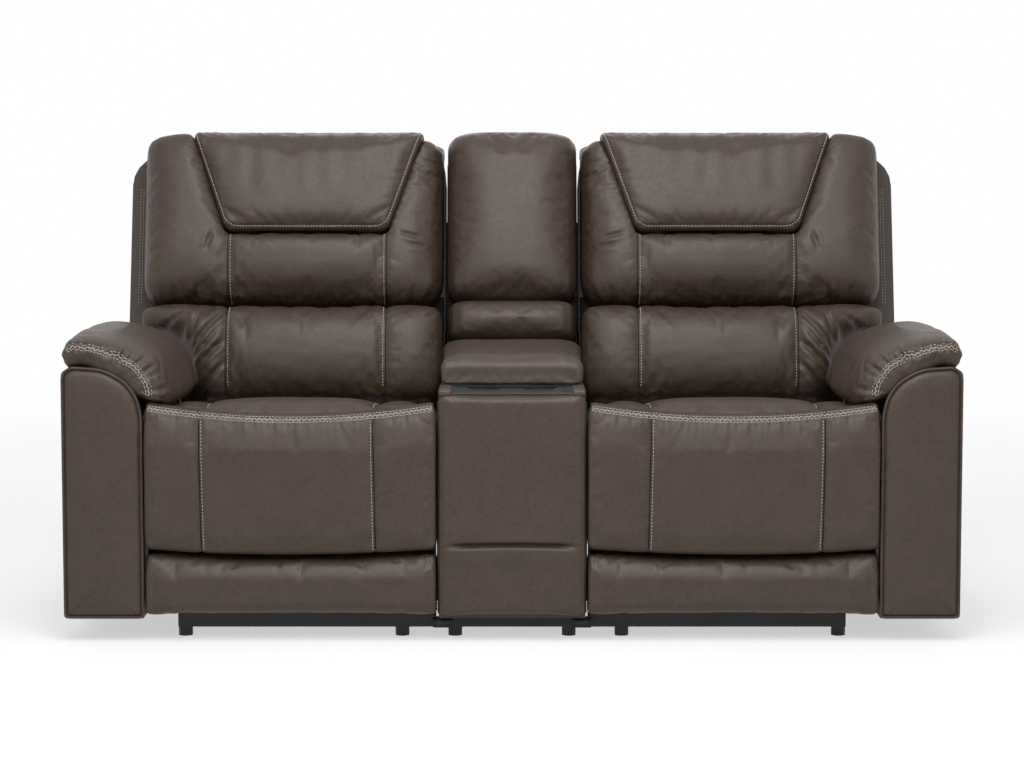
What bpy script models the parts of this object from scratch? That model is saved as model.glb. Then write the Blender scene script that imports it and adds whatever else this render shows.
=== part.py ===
"""Power reclining loveseat: two recliners with a storage console between them and an arm at each end.

Metres. X runs to the right as seen from the front, Y to the back and Z up. The origin lies on the
floor under the middle of the loveseat, with the backs upright and the footrests closed.
The right seat is modelled, in widths measured from its own middle, and mirrored for the left one.
"""

import math

import bmesh
import bpy
from mathutils import Matrix, Vector

# Widths
CONSOLE_WIDTH = 0.314
SEAT_SPACE = 0.631  # between the console and an arm
ARM_WIDTH = 0.170
PATTERN_SHIFT = 0.0075  # the seams lie this much nearer the arm than the seat's middle
SEAT_SEAM = 0.186  # from the pattern's middle
BACK_SEAM = 0.1845

# Gaps
FIT = 0.0003  # between pieces that touch
RUN = 0.0025  # between a moving seat and what stands beside it
PIN_PLAY = 0.0005

# Base frames
FOOT_HEIGHT = 0.020
FOOT_RADIUS = 0.0155
RAIL = 0.030
RAIL_SPREAD = 0.235  # from a seat's middle to its rails
BASE_FRONT = -0.415
BASE_REAR = 0.295
GUIDE_HEIGHT = 0.030
GUIDE_WALL = 0.003
GUIDE_SLOT = 0.012
RUNNER_PLAY = 0.003
OUTRIGGER = 0.020
OUTRIGGERS_AT = (-0.28, 0.18)
FLANGE_THICKNESS = 0.003
FLANGE_LENGTH = 0.080

# Seat mechanism, in the side view
PLATE = 0.003
PIVOT = (0.15, 0.40)
PIVOT_PIN = 0.008
FOOTREST_HINGE = (-0.46, 0.475)
FOOTREST_OPENS = 85
HINGE_PIN = 0.006
TORQUE_AXIS = (-0.30, 0.275)
TORQUE_RADIUS = 0.012
CRANK = (0.055, -0.13)  # from the torque tube to the crank's pin, closed
LINK_PIN = 0.005
OPEN_PIVOT_PLAY = 0.0025
LAYER = 0.0005  # between plates that pass each other
CROSS_TUBE = 0.0125
FRONT_TUBE = (-0.36, 0.345)
REAR_TUBE = (0.07, 0.340)
CROSS_BAR = (0.030, 0.010)
FRONT_BAR_Y = -0.37
REAR_BAR_Y = 0.10
FRAME_BOTTOM = 0.084
DECK_THICKNESS = 0.012
DECK_TOP = 0.362
DECK_HALF = 0.280

# Drive
LEVER_DROP = 0.065  # from the torque tube down to the rail
LEVER_THICKNESS = 0.005
BLOCK_PIN = 0.005
SLOT_HALF = 0.0105
RAIL_X = -0.022
DRIVE_RAIL = 0.008
BLOCK_SIZE = (0.034, 0.024, 0.030)
GEARBOX = (0.080, 0.090, 0.068)
GEARBOX_Y = -0.020
MOTOR_RADIUS = 0.029
MOTOR_LENGTH = 0.110

# Footrest
FRONT = -0.50
PAD_BACK = -0.425
BOARD = 0.012
PAD_BOTTOM = 0.058
PAD_SPLIT = 0.191
PAD_SPLIT_GAP = 0.006
ROLL = 0.036
PAD_DIP = 0.026  # of the seat's front edge, in the middle
PAD_SAG = 0.012
PAD_INSET = 0.0005
NOTCH_PLAY = 0.0015

# Seat cushion
SEAT_FRONT = -0.408
SEAT_REAR = 0.115
SEAT_TOP_FRONT = 0.512
SEAT_TOP_REAR = 0.452

# Backs: u runs up the board's face and v forward from it
LEAN = 16
BACK_FOOT = (0.17, 0.40)
SHELL_DEPTH = 0.159
SHELL_WALL = 0.004
SHELL_BOTTOM = 0.06
SHELL_TOP = 0.650
SHELL_EASE = 0.020
SKIRT_BOTTOM = -0.15
SKIRT_HALF = 0.28
WING_BOTTOM = 0.205
WING_REACH = 0.119  # past the seat space, over the arm
WING_CORNER = 0.075
WING_EDGE = 0.040
BOARD_BACK = 0.018
CREST_RISE = 0.034  # of a back's top above its shell
HEADREST_SEAM = 0.428
LUMBAR_TOP = 0.260
LUMBAR_BOTTOM = 0.030
LUMBAR_DEPTH = 0.168
BACK_DEPTH = 0.150
CUSHION_WING = 0.082

# Headrests
HEADREST_AXIS = (0.470, 0.118)
HEADREST_LOW_HALF = 0.188
HEADREST_TOP_HALF = 0.277
HEADREST_PLATE = 0.012
HEADREST_PLATE_V = 0.025
HEADREST_GAP = 0.0018
LUG_SPREAD = 0.100
LUG_THICKNESS = 0.004

# Arms
ARM_FRONT = -0.4850
ARM_REAR = 0.28
ARM_BOTTOM = 0.051
ARM_CREST = 0.590
ARM_PANEL = 0.0125
PIPING = 0.0035
SWITCH_Y = -0.27
SWITCH_DROP = 0.090  # from the arm's crest to the switches
SWITCH_PANEL = (0.100, 0.046, 0.003)
SWITCH_WINDOW = (0.068, 0.026)
SWITCH_COLLAR = (0.002, 0.012)
ROCKER = (0.031, 0.024)
ROCKER_AXIS = -0.0025  # from the arm's outer face

# Console
CONSOLE_FRONT = -0.478
CONSOLE_WALL = 0.010
CONSOLE_TOP = 0.532
CONSOLE_REAR = 0.28
PARTITION_Y = -0.381
PARTITION = 0.006
BIN_WALL = 0.003
BIN_FLOOR = 0.300
BIN_REAR = 0.008
CUP_RADIUS = 0.038
CUP_DEPTH = 0.070
CUP_SPREAD = 0.062
TRAY_WALL = 0.0025
TRAY_PLATE = 0.0045
LID_BOTTOM = 0.5375
LID_BOARD = 0.012
LID_TOP = 0.606
LID_FRONT = -0.384
LID_REAR = 0.0175
LID_HINGE = (0.030, 0.585)
LID_PIN = 0.005
LID_LUGS = 0.088
LID_EARS = 0.100
CONSOLE_BACK_HALF = 0.1545
CONSOLE_BACK_BOARD = 0.020
CONSOLE_ROLL = (0.172, 0.274)
SUPPLY = (0.100, 0.140, 0.048)
INLET = (0.032, 0.025)

# Worked out from the sizes above
BACK_TOP = SHELL_TOP + CREST_RISE
SWITCH_AT = (SWITCH_Y, ARM_CREST - SWITCH_DROP)
SEAT_X = CONSOLE_WIDTH / 2 + SEAT_SPACE / 2
ARM_INNER = CONSOLE_WIDTH / 2 + SEAT_SPACE
ARM_OUTER = ARM_INNER + ARM_WIDTH
SEAT_HALF = SEAT_SPACE / 2
BASE_TOP = FOOT_HEIGHT + RAIL
GUIDE_TOP = BASE_TOP + GUIDE_HEIGHT
PLATE_OUT = SEAT_HALF - RUN - LAYER  # outer face of the seat frame's side plates
PLATE_IN = PLATE_OUT - PLATE
TRAY_OUT = PLATE_IN - LAYER
TRAY_IN = TRAY_OUT - PLATE
PAD_HALF = SEAT_HALF - RUN - 0.001
NOTCH_HALF = TRAY_IN - PAD_INSET
LINK_OUT = TRAY_IN - 2 * LAYER - 0.002
LINK_IN = LINK_OUT - PLATE
CRANK_OUT = LINK_IN - 2 * LAYER
CRANK_IN = CRANK_OUT - PLATE
BOARD_REAR = PAD_BACK + BOARD
PIVOT_PLATE = SEAT_HALF - RUN + 0.0005 - SHELL_WALL - FIT - PLATE  # inner face
CRANK_PIN = (TORQUE_AXIS[0] + CRANK[0], TORQUE_AXIS[1] + CRANK[1])
TRAY_PIVOT = (FOOTREST_HINGE[0] + CRANK[0], FOOTREST_HINGE[1] + CRANK[1])
DRIVE_Z = TORQUE_AXIS[1] - LEVER_DROP
LEVER_ANGLE = math.radians(FOOTREST_OPENS / 2)
DRIVE_HALF_TRAVEL = LEVER_DROP * math.tan(LEVER_ANGLE)
BLOCK_Y = TORQUE_AXIS[0] + DRIVE_HALF_TRAVEL
HEADREST_X = PATTERN_SHIFT
CONSOLE_HALF = CONSOLE_WIDTH / 2

LEAN_SIN = math.sin(math.radians(LEAN))
LEAN_COS = math.cos(math.radians(LEAN))

# Each plane takes a flat outline's two coordinates, and its third is the way it is thickened
PLANES = {
    "X": Matrix(((0, 0, 1, 0), (1, 0, 0, 0), (0, 1, 0, 0), (0, 0, 0, 1))),
    "Y": Matrix(((1, 0, 0, 0), (0, 0, -1, 0), (0, 1, 0, 0), (0, 0, 0, 1))),
    "Z": Matrix.Identity(4),
    "V": Matrix(
        (
            (1, 0, 0, 0),
            (0, LEAN_SIN, -LEAN_COS, BACK_FOOT[0]),
            (0, LEAN_COS, LEAN_SIN, BACK_FOOT[1]),
            (0, 0, 0, 1),
        )
    ),
    "W": Matrix(
        (
            (0, 0, 1, 0),
            (LEAN_SIN, -LEAN_COS, 0, BACK_FOOT[0]),
            (LEAN_COS, LEAN_SIN, 0, BACK_FOOT[1]),
            (0, 0, 0, 1),
        )
    ),
}

FINISHES = {
    "leather": ((0.085, 0.062, 0.050), 0.45, 0.0),
    "leather_dark": ((0.062, 0.045, 0.037), 0.50, 0.0),
    "steel": ((0.045, 0.045, 0.048), 0.45, 0.9),
    "zinc": ((0.42, 0.42, 0.41), 0.35, 1.0),
    "wood": ((0.42, 0.30, 0.18), 0.65, 0.0),
    "plastic": ((0.018, 0.018, 0.019), 0.45, 0.0),
}


def start_scene():
    for obj in list(bpy.data.objects):
        bpy.data.objects.remove(obj)
    for name in ("power_reclining_loveseat", "cutters"):
        group = bpy.data.collections.new(name)
        bpy.context.scene.collection.children.link(group)
    bpy.data.collections["cutters"].hide_render = True


def arc(centre, radius, start, end, steps):
    turns = [math.radians(start + (end - start) * i / steps) for i in range(steps + 1)]
    return [(centre[0] + radius * math.cos(t), centre[1] + radius * math.sin(t)) for t in turns]


def circle(centre, radius, sides=10):
    return arc(centre, radius, 0, 360, sides)[:-1]


def rectangle(a, b):
    return [(a[0], b[0]), (a[1], b[0]), (a[1], b[1]), (a[0], b[1])]


def strap(first, first_radius, last, last_radius, steps=4):
    """Outline of a link with round ends."""
    heading = math.degrees(math.atan2(last[1] - first[1], last[0] - first[0]))
    tail = arc(first, first_radius, heading + 90, heading + 270, steps)
    return tail + arc(last, last_radius, heading - 90, heading + 90, steps)


def rounded(a, b, radii, steps=2):
    """Rectangle whose corners, from low a and low b on, have these radii."""
    corners = ((a[0], b[0], 180), (a[1], b[0], 270), (a[1], b[1], 0), (a[0], b[1], 90))
    points = []
    for (x, y, turn), radius in zip(corners, radii):
        if not radius:
            points.append((x, y))
            continue
        centre = (x + (radius if x == a[0] else -radius), y + (radius if y == b[0] else -radius))
        points += arc(centre, radius, turn, turn + 90, steps)
    return points


def helper(data):
    obj = bpy.data.objects.new("helper", data)
    bpy.data.collections["cutters"].objects.link(obj)
    return obj


def taken(obj, triangles=False):
    """The object's finished mesh in world space. The object is removed."""
    bpy.context.view_layer.update()
    graph = bpy.context.evaluated_depsgraph_get()
    mesh = bpy.data.meshes.new_from_object(obj.evaluated_get(graph))
    mesh.transform(obj.matrix_world)
    bpy.data.objects.remove(obj)
    bm = bmesh.new()
    bm.from_mesh(mesh)
    bmesh.ops.remove_doubles(bm, verts=bm.verts, dist=3e-5)
    if triangles:
        bmesh.ops.triangulate(bm, faces=bm.faces)
    bm.to_mesh(mesh)
    bm.free()
    return mesh


def along(plane, low, high):
    """Middle of a thickness, in the plane's own third coordinate."""
    return -(low + high) / 2 if plane == "Y" else (low + high) / 2


def flat(plane, outline, low, high, holes=()):
    """A flat outline thickened from low to high."""
    curve = bpy.data.curves.new("outline", "CURVE")
    curve.dimensions = "2D"
    curve.fill_mode = "BOTH"
    curve.extrude = (high - low) / 2
    for points in (outline, *holes):
        spline = curve.splines.new("POLY")
        spline.points.add(len(points) - 1)
        for knot, (a, b) in zip(spline.points, points):
            knot.co = (a, b, 0, 1)
        spline.use_cyclic_u = True
    obj = helper(curve)
    obj.matrix_world = PLANES[plane] @ Matrix.Translation((0, 0, along(plane, low, high)))
    return taken(obj)


def solid(plane, a, b, low, high, ease=0.0, steps=2):
    """A box, with its edges rounded by ease."""
    bm = bmesh.new()
    bmesh.ops.create_cube(bm, size=1)
    mesh = bpy.data.meshes.new("box")
    bm.to_mesh(mesh)
    bm.free()
    size = Matrix.Diagonal((a[1] - a[0], b[1] - b[0], high - low, 1))
    middle = Vector(((a[0] + a[1]) / 2, (b[0] + b[1]) / 2, along(plane, low, high)))
    mesh.transform(PLANES[plane] @ Matrix.Translation(middle) @ size)
    return eased(mesh, ease, steps) if ease else mesh


def eased(mesh, width, steps=2, angle=30):
    obj = helper(mesh)
    bevel = obj.modifiers.new("ease", "BEVEL")
    bevel.width = width
    bevel.segments = steps
    bevel.limit_method = "ANGLE"
    bevel.angle_limit = math.radians(angle)
    bevel.use_clamp_overlap = True
    return taken(obj)


def round_bar(plane, centre, radius, low, high, sides=10):
    bm = bmesh.new()
    bmesh.ops.create_cone(
        bm,
        cap_ends=True,
        segments=sides,
        radius1=radius,
        radius2=radius,
        depth=high - low,
    )
    mesh = bpy.data.meshes.new("bar")
    bm.to_mesh(mesh)
    bm.free()
    middle = Vector((centre[0], centre[1], along(plane, low, high)))
    mesh.transform(PLANES[plane] @ Matrix.Translation(middle))
    return mesh


def bead(points, radius):
    """A round bead along points."""
    curve = bpy.data.curves.new("bead", "CURVE")
    curve.dimensions = "3D"
    curve.bevel_depth = radius
    curve.bevel_resolution = 1
    curve.use_fill_caps = True
    spline = curve.splines.new("POLY")
    spline.points.add(len(points) - 1)
    for knot, point in zip(spline.points, points):
        knot.co = (*point, 1)
    return taken(helper(curve))


def joined(shapes, cuts=()):
    """The union of the shapes, less the cuts."""
    body = helper(shapes[0])
    for operation, meshes in (("UNION", shapes[1:]), ("DIFFERENCE", cuts)):
        if not meshes:
            continue
        group = bpy.data.collections.new(operation)
        bpy.data.collections["cutters"].children.link(group)
        for mesh in meshes:
            cutter = helper(mesh)
            cutter.hide_render = True
            cutter.display_type = "WIRE"
            bpy.data.collections["cutters"].objects.unlink(cutter)
            group.objects.link(cutter)
        boolean = body.modifiers.new(operation, "BOOLEAN")
        boolean.operation = operation
        boolean.operand_type = "COLLECTION"
        boolean.collection = group
    mesh = taken(body)
    for group in list(bpy.data.collections["cutters"].children):
        for cutter in list(group.objects):
            bpy.data.objects.remove(cutter)
        bpy.data.collections.remove(group)
    return mesh


def puffed(plane, a, b, c, shape, a_cuts=(), b_cuts=(), c_cuts=(), seams=(), levels=1):
    """A soft form: a box cage cut at the given places, moved by shape and subdivided.

    The edges of its back face stay sharp, and so do the seams, each a coordinate and its value.
    """
    bm = bmesh.new()
    bmesh.ops.create_cube(bm, size=1)
    for vert in bm.verts:
        for i, (low, high) in enumerate((a, b, c)):
            vert.co[i] = low if vert.co[i] < 0 else high
    for i, cuts in enumerate((a_cuts, b_cuts, c_cuts)):
        for place in cuts:
            point = Vector((0, 0, 0))
            point[i] = place
            normal = Vector((0, 0, 0))
            normal[i] = 1
            everything = bm.verts[:] + bm.edges[:] + bm.faces[:]
            bmesh.ops.bisect_plane(bm, geom=everything, plane_co=point, plane_no=normal)
    crease = bm.edges.layers.float.new("crease_edge")
    for edge in bm.edges:
        first, last = (vert.co for vert in edge.verts)
        if abs(first.z - c[0]) < 1e-6 and abs(last.z - c[0]) < 1e-6:
            edge[crease] = 1.0
        for i, place in seams:
            front = abs(first.z - c[1]) < 1e-6 and abs(last.z - c[1]) < 1e-6
            if front and abs(first[i] - place) < 1e-6 and abs(last[i] - place) < 1e-6:
                edge[crease] = 0.8
    for vert in bm.verts:
        vert.co = Vector(shape(*vert.co))
    mesh = bpy.data.meshes.new("cage")
    bm.to_mesh(mesh)
    bm.free()
    obj = helper(mesh)
    smooth = obj.modifiers.new("soft", "SUBSURF")
    smooth.levels = smooth.render_levels = levels
    obj.matrix_world = PLANES[plane]
    return taken(obj, triangles=True)


def pillow(a, b, c, edge, draw, seams=(), valley=0.008, more=None):
    """Shape of a plain cushion: its front rim drops by edge and draws in, and its seams sink."""

    def shape(x, y, z):
        front = (z - c[0]) / (c[1] - c[0])
        rim_x = (x > a[1] - 1e-6) - (x < a[0] + 1e-6)
        rim_y = (y > b[1] - 1e-6) - (y < b[0] + 1e-6)
        depth = z
        if rim_x or rim_y:
            depth -= edge * front
        else:
            sunk = any(abs((x, y)[i] - place) < 1e-6 for i, place in seams)
            depth -= valley * front * sunk
        point = (x - rim_x * draw * front**2, y - rim_y * draw * front**2, depth)
        return more(x, y, z, point) if more else point

    return shape


def spread(low, high, steps):
    return [low + (high - low) * (i + 1) / steps for i in range(steps - 1)]


def back_point(x, u, v):
    return PLANES["V"] @ Vector((x, u, v))


def mirrored(mesh):
    copy = mesh.copy()
    copy.transform(Matrix.Scale(-1, 4, (1, 0, 0)))
    copy.flip_normals()
    return copy


def moved(mesh, x):
    mesh.transform(Matrix.Translation((x, 0, 0)))
    return mesh


def both_ways(shapes):
    """The shapes and their mirror images about the seat's middle."""
    return [*shapes, *map(mirrored, shapes)]


class Loveseat:
    """Keeps the empties that pieces move with, and adds pieces to them."""

    def __init__(self):
        self.empties = {}

    def body(self, name, parent, x, y, z):
        empty = bpy.data.objects.new(name + "_joint", None)
        empty.empty_display_size = 0.05
        bpy.data.collections["power_reclining_loveseat"].objects.link(empty)
        place = Vector((x, y, z))
        if parent:
            empty.parent = self.empties[parent][0]
            empty.location = place - self.empties[parent][1]
        else:
            empty.location = place
        self.empties[name] = (empty, place)

    def add(self, name, mesh, body, finish):
        empty, place = self.empties[body]
        mesh.transform(Matrix.Translation(-place))
        mesh.name = name
        obj = bpy.data.objects.new(name, mesh)
        obj.parent = empty
        bpy.data.collections["power_reclining_loveseat"].objects.link(obj)
        colour, roughness, metallic = FINISHES[finish]
        material = bpy.data.materials.new(name + "_" + finish)
        material.use_nodes = True
        shader = material.node_tree.nodes["Principled BSDF"]
        shader.inputs["Base Color"].default_value = (*colour, 1)
        shader.inputs["Roughness"].default_value = roughness
        shader.inputs["Metallic"].default_value = metallic
        mesh.materials.clear()
        mesh.materials.append(material)
        mesh.shade_smooth()
        mesh.set_sharp_from_angle(angle=math.radians(35))

    def pair(self, name, mesh, body, finish):
        """The piece of the right seat, given about that seat's middle, and its mirror image."""
        moved(mesh, SEAT_X)
        other = mirrored(mesh)
        self.add("right_" + name, mesh, "right_" + body if body else "root", finish)
        self.add("left_" + name, other, "left_" + body if body else "root", finish)


def set_joints(sofa):
    sofa.body("root", None, 0, 0, 0)
    rocker_x = ARM_OUTER + ROCKER_AXIS
    for side, sign in (("right_", 1), ("left_", -1)):
        middle = sign * SEAT_X
        sofa.body(side + "seat", "root", middle, 0, GUIDE_TOP)
        sofa.body(side + "back", side + "seat", middle, *PIVOT)
        sofa.body(side + "footrest", side + "seat", middle, *FOOTREST_HINGE)
        sofa.body(side + "crank", side + "seat", middle, *TORQUE_AXIS)
        sofa.body(side + "links", side + "crank", middle, *CRANK_PIN)
        sofa.body(side + "block", side + "seat", sign * (SEAT_X + RAIL_X), BLOCK_Y, DRIVE_Z)
        headrest = back_point(middle + sign * HEADREST_X, *HEADREST_AXIS)
        sofa.body(side + "headrest", side + "back", *headrest)
        for name, place in rocker_places().items():
            sofa.body(side + name, "root", sign * rocker_x, place, SWITCH_AT[1])
    sofa.body("console_lid", "root", 0, *LID_HINGE)


def rocker_places():
    step = SWITCH_WINDOW[0] / 4
    return {
        "recline_rocker": SWITCH_AT[0] - step,
        "headrest_rocker": SWITCH_AT[0] + step,
    }


def base_rails(half, rail_x, feet_x):
    """Square-tube rails on four feet."""
    rail = (FOOT_HEIGHT, BASE_TOP)
    shapes = []
    for sign in (-1, 1):
        side = (sign * rail_x - RAIL / 2, sign * rail_x + RAIL / 2)
        shapes.append(solid("Z", side, (BASE_FRONT, BASE_REAR), *rail))
    for front in (BASE_FRONT, BASE_REAR - RAIL):
        shapes.append(solid("Z", half, (front, front + RAIL), *rail))
        for sign in (-1, 1):
            centre = (sign * feet_x, front + RAIL / 2)
            shapes.append(round_bar("Z", centre, FOOT_RADIUS, 0, FOOT_HEIGHT + 0.002))
    return shapes


def guide_profile():
    """Section of a guide channel: a C with its slot on top."""
    half, inner, slot = RAIL / 2, RAIL / 2 - GUIDE_WALL, GUIDE_SLOT / 2
    foot, floor = BASE_TOP - 0.001, BASE_TOP + GUIDE_WALL
    ceiling = GUIDE_TOP - GUIDE_WALL
    right = [(half, foot), (half, GUIDE_TOP), (slot, GUIDE_TOP), (slot, ceiling)]
    right += [(inner, ceiling), (inner, floor)]
    return right + [(-x, z) for x, z in reversed(right)]


def base_frame():
    shapes = base_rails((-SEAT_HALF + 0.007, RAIL_SPREAD + RAIL / 2), RAIL_SPREAD, RAIL_SPREAD)
    section = guide_profile()
    outer = SEAT_HALF - FIT
    for sign in (-1, 1):
        profile = [(sign * RAIL_SPREAD + x, z) for x, z in section]
        shapes.append(flat("Y", profile, BOARD_REAR + 0.006, BASE_REAR))
        start = RAIL_SPREAD + RAIL / 2 - GUIDE_WALL / 2
        for place in OUTRIGGERS_AT:
            reach = sorted((sign * start, sign * outer))
            across = (place - OUTRIGGER / 2, place + OUTRIGGER / 2)
            shapes.append(solid("Z", reach, across, BASE_TOP + 0.005, BASE_TOP + 0.005 + OUTRIGGER))
            flange = sorted((sign * (outer - FLANGE_THICKNESS), sign * outer))
            length = (place - FLANGE_LENGTH / 2, place + FLANGE_LENGTH / 2)
            top = BASE_TOP + 0.005 + OUTRIGGER
            shapes.append(solid("Z", flange, length, BASE_TOP + 0.003, top + 0.002))
    return joined(shapes)


def side_plate_outline():
    hinge, pivot = FOOTREST_HINGE, PIVOT
    rear = pivot[0] + 0.022
    points = [(FRONT_BAR_Y - 0.015, FRAME_BOTTOM), (rear - 0.018, FRAME_BOTTOM)]
    points += [(rear, FRAME_BOTTOM + 0.018)]
    points += arc(pivot, 0.022, 0, 180, 6)
    points += [(pivot[0] - 0.045, DECK_TOP - 0.007), (FRONT_TUBE[0] - 0.004, DECK_TOP - 0.007)]
    points += arc(hinge, 0.017, 20, 230, 7)
    points += [(FRONT_TUBE[0] - 0.030, FRONT_TUBE[1] - 0.045)]
    return points


def seat_frame():
    outline = side_plate_outline()
    holes = [
        circle(FOOTREST_HINGE, HINGE_PIN + PIN_PLAY),
        circle(TORQUE_AXIS, TORQUE_RADIUS + PIN_PLAY, 12),
        circle(PIVOT, PIVOT_PIN + PIN_PLAY),
        rounded((-0.23, -0.10), (0.15, 0.29), (0.03, 0.03, 0.03, 0.03)),
        rounded((-0.06, 0.07), (0.15, 0.29), (0.03, 0.03, 0.03, 0.03)),
    ]
    shapes = []
    for sign in (-1, 1):
        low, high = sorted((sign * PLATE_IN, sign * PLATE_OUT))
        shapes.append(flat("X", outline, low, high, holes))
        foot = (sign * RAIL_SPREAD, FRAME_BOTTOM)
        half = RAIL / 2 - GUIDE_WALL - RUNNER_PLAY
        runner = (foot[0] - half, foot[0] + half)
        length = (FRONT_BAR_Y - CROSS_BAR[0] / 2, REAR_BAR_Y + 0.08)
        low_z = BASE_TOP + GUIDE_WALL + FIT
        high_z = GUIDE_TOP - GUIDE_WALL - RUNNER_PLAY
        shapes.append(solid("Z", runner, length, low_z, high_z))
        web = (foot[0] - GUIDE_SLOT / 4, foot[0] + GUIDE_SLOT / 4)
        shapes.append(solid("Z", web, length, high_z - 0.001, FRAME_BOTTOM + 0.002))
    reach = (-PLATE_IN - PLATE / 2, PLATE_IN + PLATE / 2)
    for tube in (FRONT_TUBE, REAR_TUBE):
        shapes.append(round_bar("X", tube, CROSS_TUBE, *reach))
    for place in (FRONT_BAR_Y, REAR_BAR_Y):
        bar = (place - CROSS_BAR[0] / 2, place + CROSS_BAR[0] / 2)
        shapes.append(solid("Z", reach, bar, FRAME_BOTTOM, FRAME_BOTTOM + CROSS_BAR[1]))
    deck = (SEAT_FRONT + 0.013, SEAT_REAR)
    half = (-DECK_HALF, DECK_HALF)
    shapes.append(solid("Z", half, deck, DECK_TOP - DECK_THICKNESS, DECK_TOP))
    return joined(shapes)


def seat_cushion():
    a = (-PAD_HALF, PAD_HALF)
    b = (SEAT_FRONT, SEAT_REAR)
    c = (DECK_TOP + FIT, SEAT_TOP_FRONT)
    seams = [(0, PATTERN_SHIFT + sign * SEAT_SEAM) for sign in (-1, 1)]
    inner, outer = seams[0][1], seams[1][1]
    a_cuts = [(a[0] + inner) / 2, inner, (inner + outer) / 2, outer, (outer + a[1]) / 2]
    drop = SEAT_TOP_FRONT - SEAT_TOP_REAR

    def slope(x, y, z, point):
        back = (y - b[0]) / (b[1] - b[0])
        front = (z - c[0]) / (c[1] - c[0])
        return point[0], point[1], point[2] - drop * back * front

    shape = pillow(a, b, c, 0.024, 0.010, seams, 0.007, slope)
    b_cuts = (b[0] + 0.055, b[0] + 0.20, b[0] + 0.36)
    mesh = puffed("Z", a, b, c, shape, a_cuts, b_cuts, (c[0] + 0.09,), seams)
    notches = []
    for y in ((SEAT_FRONT - 0.1, FRONT_TUBE[0] + 0.002), (PIVOT[0] - 0.052, SEAT_REAR + 0.1)):
        notches.append(solid("Z", (NOTCH_HALF, 0.4), y, DECK_TOP - 0.02, SEAT_TOP_FRONT + 0.05))
    return joined([mesh], both_ways(notches))


def torque_tube():
    reach = PLATE_OUT - LAYER
    shapes = [round_bar("X", TORQUE_AXIS, TORQUE_RADIUS, -reach, reach, 12)]
    slots = []
    for sign in (-1, 1):
        low, high = sorted((sign * CRANK_IN, sign * CRANK_OUT))
        shapes.append(flat("X", strap(TORQUE_AXIS, 0.020, CRANK_PIN, 0.012), low, high))
        pin = sorted((sign * (CRANK_IN + 0.001), sign * (LINK_OUT + 0.001)))
        shapes.append(round_bar("X", CRANK_PIN, LINK_PIN, *pin))
    turn = (math.sin(LEVER_ANGLE), -math.cos(LEVER_ANGLE))
    longest = LEVER_DROP / math.cos(LEVER_ANGLE)
    near, far = (
        (TORQUE_AXIS[0] + turn[0] * reach_out, TORQUE_AXIS[1] + turn[1] * reach_out)
        for reach_out in (LEVER_DROP, longest)
    )
    lever = strap(TORQUE_AXIS, 0.020, far, SLOT_HALF + 0.007)
    shapes.append(flat("X", lever, 0, LEVER_THICKNESS))
    slots.append(flat("X", strap(near, SLOT_HALF, far, SLOT_HALF), -0.01, LEVER_THICKNESS + 0.01))
    return joined(shapes, slots)


def footrest_link(sign):
    low, high = sorted((sign * LINK_IN, sign * LINK_OUT))
    holes = [
        circle(CRANK_PIN, LINK_PIN + PIN_PLAY),
        circle(TRAY_PIVOT, LINK_PIN + OPEN_PIVOT_PLAY),
    ]
    return flat("X", strap(CRANK_PIN, 0.011, TRAY_PIVOT, 0.012), low, high, holes)


def tray_side_outline():
    hinge, pivot = FOOTREST_HINGE, TRAY_PIVOT
    front = BOARD_REAR - 0.042
    points = [(front, 0.075), (BOARD_REAR, 0.075), (BOARD_REAR, pivot[1] - 0.020)]
    points += arc(pivot, 0.013, -70, 90, 4)
    points += [(BOARD_REAR - 0.004, pivot[1] + 0.030), (hinge[0] + 0.026, hinge[1] - 0.040)]
    points += arc(hinge, 0.016, 0, 180, 6)
    points += [(front, hinge[1] - 0.070)]
    return points


def footrest_tray():
    top = FOOTREST_HINGE[1] - 0.045
    reach = (-TRAY_IN - PLATE / 2, TRAY_IN + PLATE / 2)
    shapes = [solid("Z", reach, (PAD_BACK, BOARD_REAR), 0.075, top)]
    outline = tray_side_outline()
    for sign in (-1, 1):
        low, high = sorted((sign * TRAY_IN, sign * TRAY_OUT))
        shapes.append(flat("X", outline, low, high))
        hinge = sorted((sign * (TRAY_IN + 0.001), sign * (PLATE_OUT - LAYER)))
        shapes.append(round_bar("X", FOOTREST_HINGE, HINGE_PIN, *hinge))
        pin = sorted((sign * (LINK_IN - 0.0003), sign * (TRAY_IN + 0.001)))
        shapes.append(round_bar("X", TRAY_PIVOT, LINK_PIN, *pin))
    windows = []
    for low, high in ((0.095, 0.165), (0.22, 0.34)):
        window = rounded((-0.22, 0.22), (low, high), (0.02, 0.02, 0.02, 0.02))
        windows.append(flat("Y", window, PAD_BACK - 0.01, BOARD_REAR + 0.01))
    end = (TRAY_PIVOT[1] - 0.014, TRAY_PIVOT[1] + 0.014)
    reach = (LINK_IN - 0.0015, LINK_OUT + 0.0005)
    slot = solid("Z", reach, (TRAY_PIVOT[0] - 0.0135, BOARD_REAR + 0.01), *end)
    return joined(shapes, windows + both_ways([slot]))


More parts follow.
